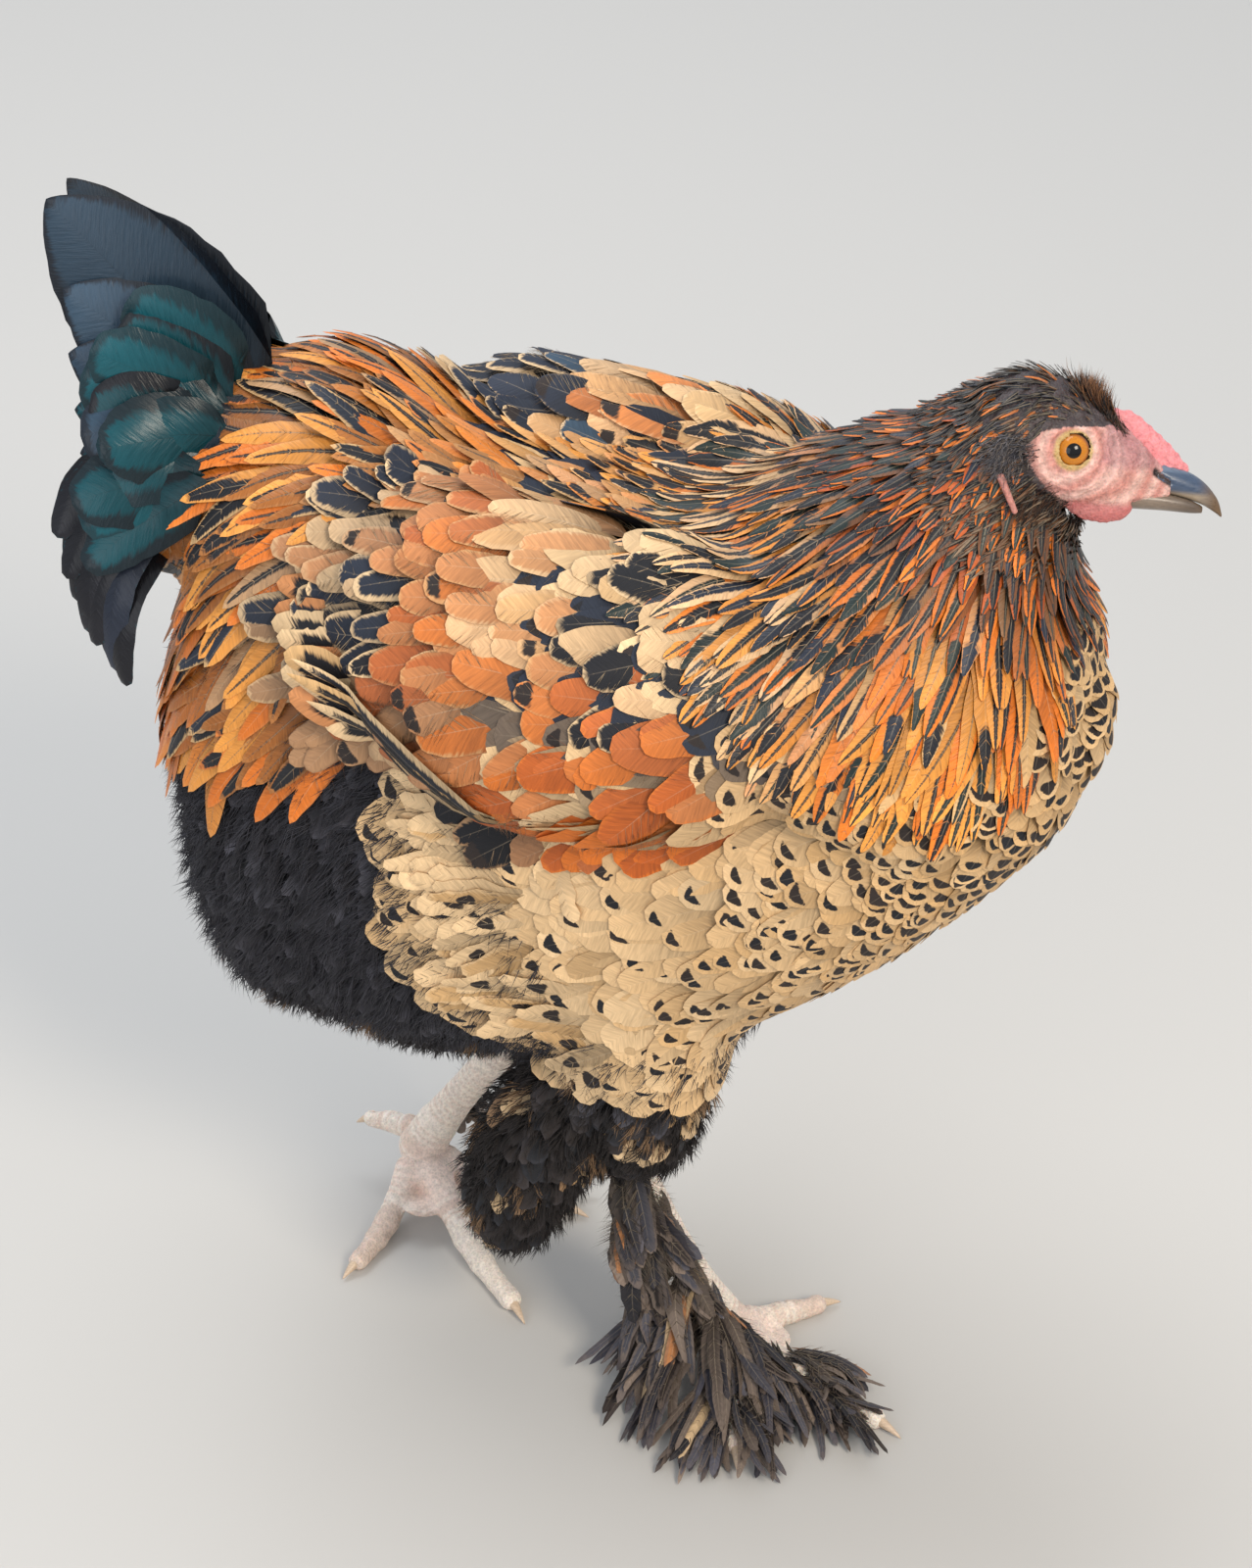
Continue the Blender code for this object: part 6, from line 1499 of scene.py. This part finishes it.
def make_eyes():
    """Eyes: balls ruled by the angle from their gaze, amber round a black pupil"""
    across, round_ = np.meshgrid(np.linspace(0, math.pi, 40), np.linspace(0, 2 * math.pi, 48, endpoint=False),
                                 indexing="ij")
    gaze = np.stack([np.sin(across) * np.cos(round_), np.cos(across), np.sin(across) * np.sin(round_)], -1)
    bulge = 1.0 + 0.02 * np.cos(across[..., None]) ** 8
    rings, sides = across.shape
    i, k = (value.ravel() for value in np.meshgrid(np.arange(rings - 1), np.arange(sides), indexing="ij"))
    n = (k + 1) % sides
    faces = np.stack([i * sides + k, i * sides + n, (i + 1) * sides + n, (i + 1) * sides + k], 1)
    points, quads = [], []
    for side, middle in zip((-1, 1), both_sides(EYE_AT)):
        quads.append((faces[:, ::-side]) + len(points) * rings * sides)
        points.append(from_head((middle + EYE_RADIUS * bulge * gaze * (1, side, 1)).reshape(-1, 3)))
    ring = np.tile(np.stack([across, round_, across * 0], -1).reshape(-1, 3), (2, 1))
    finish = Finish("eye_gloss", Roughness=0.12, Specular_IOR_Level=0.2, Coat_Weight=0.35, Coat_Roughness=0.03)
    place = finish.attribute("vane")
    out, turn = place.part("X"), place.part("Y")
    rays = place.node("ShaderNodeCombineXYZ", None, {0: turn * 6.0, 1: out * 3.0})
    streak = rays.node("ShaderNodeTexNoise", None, {"Vector": rays, "Scale": 2.4, "Detail": 3.0})
    amber = rays.node("ShaderNodeCombineXYZ", None, {0: streak * 0.35 + 0.34, 1: streak * 0.24 + 0.06, 2: 0.012})
    tone = amber.over((0.30, 0.09, 0.012, 1.0), ((out - IRIS * 0.82) * 8.0).held())
    tone = tone.over((0.02, 0.012, 0.01, 1.0), ((out - IRIS) * 14.0).held())
    tone = tone.over((0.003, 0.003, 0.003, 1.0), ((PUPIL + (streak - 0.5) * 0.03 - out) * 40.0).held())
    finish.set(Base_Color=tone)
    made = add_mesh("eyes", np.concatenate(points), np.concatenate(quads), finish.material, {"vane": ring})
    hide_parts("eye_left", "eye_right")


def horn_finish(name, roughness):
    """Horn: its own colour in fine growth lines"""
    finish = Finish(name, Coat_Weight=0.25, Coat_Roughness=0.25)
    place = finish.attribute("vane")
    lines = place.node("ShaderNodeMapping", None, {"Vector": place, "Scale": (2.0, 9.0, 9.0)})
    grain = lines.node("ShaderNodeTexNoise", None, {"Vector": lines, "Scale": 2.0, "Detail": 4.0})
    shade = grain * 0.7 + 0.65
    grey = shade.node("ShaderNodeCombineXYZ", None, {0: shade, 1: shade, 2: shade})
    finish.set(Base_Color=finish.colour("ground").over(grey, 1.0, "MULTIPLY"), Roughness=grain * 0.3 + roughness - 0.15)
    finish.bump(grain, 0.25, 0.0004)
    return finish.material


def make_beak():
    """Beak in two halves that meet at the mouth line: slate ridge, pale base, brown tip and cream lower edge"""
    finish = horn_finish("beak_horn", 0.32)
    upper = stack(BEAK_UPPER, X_WAY, Y_WAY, cap=0.1)
    lower = stack(BEAK_LOWER, X_WAY, Y_WAY, cap=0.1)

    def upper_form(points):
        return np.maximum(upper(points), -nostril_form(points))

    def lower_form(points):
        return np.maximum(lower(points), 0.03 - upper(points))

    for name, form in (("beak_upper", upper_form), ("beak_lower", lower_form)):
        field = Field(form, (1.9, -0.9, -2.1), (5.6, 0.9, 0.3), 0.04)
        points, quads = surface_net(field.values, field.low, field.step)
        x, _, z = points.T
        slate, tip = mixed((0.20, 0.17, 0.15), (0.045, 0.07, 0.12), fade(x, 2.7, 3.1)), fade(x, 4.2, 5.0)
        if name == "beak_lower":
            slate = mixed((0.20, 0.15, 0.11), (0.10, 0.07, 0.05), fade(x, 3.0, 4.4))
        colour = mixed(slate, (0.13, 0.075, 0.035), tip)
        colour = mixed(colour, (0.45, 0.33, 0.2), 0.75 * fade(-z, 0.98, 1.2) * (1 - tip) * (name == "beak_upper"))
        colour = mixed(colour, (0.22, 0.28, 0.36), 0.5 * fade(z, -0.55, -0.35) * (name == "beak_upper"))
        made = add_mesh(name + "_horn", from_head(points), quads, finish, {"ground": colour, "vane": points})
        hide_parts(name)


def tube(path, radius, sides=10):
    """Closed tube round a path, with its ends drawn to points: points and triangles"""
    way = unit(np.gradient(path, axis=0))
    side = unit(np.cross(way, Z_WAY + 0.01 * X_WAY))
    over = np.cross(side, way)
    turn = np.arange(sides) * 2 * math.pi / sides
    ring = path[1:-1, None] + radius[1:-1, None, None] * (
        side[1:-1, None] * np.cos(turn)[:, None] + over[1:-1, None] * np.sin(turn)[:, None])
    return np.concatenate([ring.reshape(-1, 3), path[:1], path[-1:]]), vane_faces(sides, len(path) - 2)


def make_claws():
    """Claws: horn tubes that curve down from the toes' ends to points just over the floor"""
    points, faces, count = [], [], 0
    for side in (-1, 1):
        for toe, keys in TOES[side].items():
            rows = toe_rows(keys, TOE_RADIUS[toe])
            start, end = rows[-1, :3], np.array(keys[3]) + (0, 0, 0.1)
            start = start - unit(end - start) * 0.25
            bend = (start + end) / 2 + (0, 0, 0.16)
            path = bowed(np.concatenate([start, bend, end])[None], 12)[0]
            t = np.linspace(0, 1, 12)
            path[:, 2] = np.maximum(path[:, 2], 0.26 * (1 - t) + 0.03)
            made, triangles = tube(path, 0.25 * (1 - 0.93 * t ** 1.6))
            points.append(made)
            faces.append(triangles + count)
            count += len(made)
    points = np.concatenate(points)
    colour = np.tile((0.62, 0.46, 0.32), (count, 1))
    made = add_mesh("claws", points, np.concatenate(faces), horn_finish("claw_horn", 0.4),
                    {"ground": colour, "vane": points})
    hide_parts(*(f"claw_{SIDE_NAMES[side]}_{toe}" for side in (-1, 1) for toe in TOES[side]))


def light_scene():
    """Floor, lights and camera"""
    world = bpy.data.worlds.new("sky")
    world.use_nodes = True
    world.node_tree.nodes["Background"].inputs["Color"].default_value = (0.86, 0.92, 1.0, 1.0)
    world.node_tree.nodes["Background"].inputs["Strength"].default_value = 0.75
    bpy.context.scene.world = world
    bpy.context.scene.view_settings.view_transform = "Standard"
    for name, place, size, power, tint in (
        ("key", (1.6, -1.3, 1.9), 0.8, 42.0, (1.0, 0.90, 0.76)),
        ("top", (-0.7, 0.5, 2.2), 1.4, 26.0, (0.93, 0.96, 1.0)),
        ("front", (-0.6, -2.4, 1.2), 1.6, 14.0, (0.96, 0.97, 1.0)),
    ):
        lamp = bpy.data.lights.new(name, "AREA")
        lamp.size, lamp.energy, lamp.color = size, power, tint
        made = bpy.data.objects.new(name, lamp)
        made.location = place
        aim = np.array((0.0, 0.0, 0.25)) - np.array(place)
        made.rotation_euler = (math.atan2(math.hypot(aim[0], aim[1]), -aim[2]), 0, math.atan2(-aim[0], aim[1]))
        bpy.context.scene.collection.objects.link(made)
    reach = 6.0
    mesh = bpy.data.meshes.new("floor")
    mesh.from_pydata([(-reach, -reach, 0), (reach, -reach, 0), (reach, reach, 0), (-reach, reach, 0)], [], [(0, 1, 2, 3)])
    floor = bpy.data.objects.new("floor", mesh)
    floor_finish = Finish("floor", Base_Color=(0.55, 0.53, 0.50, 1.0), Roughness=0.9)
    mesh.materials.append(floor_finish.material)
    bpy.context.scene.collection.objects.link(floor)
    turn, lift = math.radians(AZIMUTH), math.radians(ELEVATION)
    back = np.array((math.sin(turn) * math.cos(lift), -math.cos(turn) * math.cos(lift), math.sin(lift)))
    lens = bpy.data.cameras.new("camera")
    lens.lens, lens.sensor_width = LENS, SENSOR
    camera = bpy.data.objects.new("camera", lens)
    camera.location = (np.array(LOOK_AT) + SHIFT + back * DISTANCE) * CM
    camera.rotation_euler = (math.pi / 2 - lift, 0.0, turn)
    bpy.context.scene.collection.objects.link(camera)
    bpy.context.scene.camera = camera


def main():
    """Dress the frame"""
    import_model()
    light_scene()
    draw = np.random.default_rng(SEED)
    trunk = Field(trunk_form, (-19.0, -12.5, 2.0), (20.0, 12.5, 46.0), 0.35)
    corners = surface_net(trunk.values + skin_depth(trunk.points), trunk.low, trunk.step)[0]
    make_skin(trunk)
    make_eyes()
    make_beak()
    make_claws()
    body, cape, fringe, tufts, saddle, wings, tail, fluff, feet = (Coat() for _ in range(9))
    downs = [Coat() for _ in range(DOWN_PIECES)]
    dress_breast(body, trunk, corners, draw)
    dress_flank(body, trunk, draw)
    dress_cape(cape, fringe, trunk, corners, draw)
    dress_crown(cape, tufts, trunk, corners, draw)
    for side in (-1, 1):
        dress_wing(wings, trunk, corners, side, draw)
    dress_saddle(saddle, trunk, corners, draw)
    dress_tail(tail, trunk, draw)
    dress_fluff(fluff, downs, trunk, corners, draw)
    dress_feet(feet, draw)
    soft = plume_finish("soft_feather", 0.6, barbs=9.0, contrast=0.8, Specular_IOR_Level=0.3)
    glossy = plume_finish("hackle_plume", 0.42, barbs=11.0, contrast=0.8, shaft=(0.8, 0.62, 0.4), shaft_share=0.6,
                          Specular_IOR_Level=0.35)
    quill = plume_finish("quill_plume", 0.3, barbs=7.0, contrast=0.45, shaft=(0.01, 0.01, 0.01),
                         Specular_IOR_Level=0.2, Coat_Weight=0.12, Coat_Roughness=0.18)
    down_finish = plume_finish("down_plume", 0.75, barbs=8.0, contrast=0.5, shaft_share=0.0)
    body.make("breast_coat", soft, "breast_feather", ["torso"])
    cape.make("cape", glossy, "hackle_feather", ["neck"])
    fringe.make("cape_fringe", glossy, "hackle_feather", ["neck"])
    saddle.make("saddle_coat", glossy, "saddle_feather", ["saddle"])
    wings.make("wing_coat", soft, "wing_feather", ["wing_left", "wing_right"])
    tail.make("tail_coat", quill, "tail_feather", ["tail"])
    fluff.make("fluff_coat", down_finish, "fluff_down", ["fluff"])
    for number, down in enumerate(downs):
        down.make(f"down_{number + 1}", down_finish, "fluff_down", ["fluff"])
    tufts.make("head_tufts", down_finish, "head_feather", ["head"])
    feet.make("foot_feathers", soft, "leg_feather", ["shank_left", "shank_right"])


main()
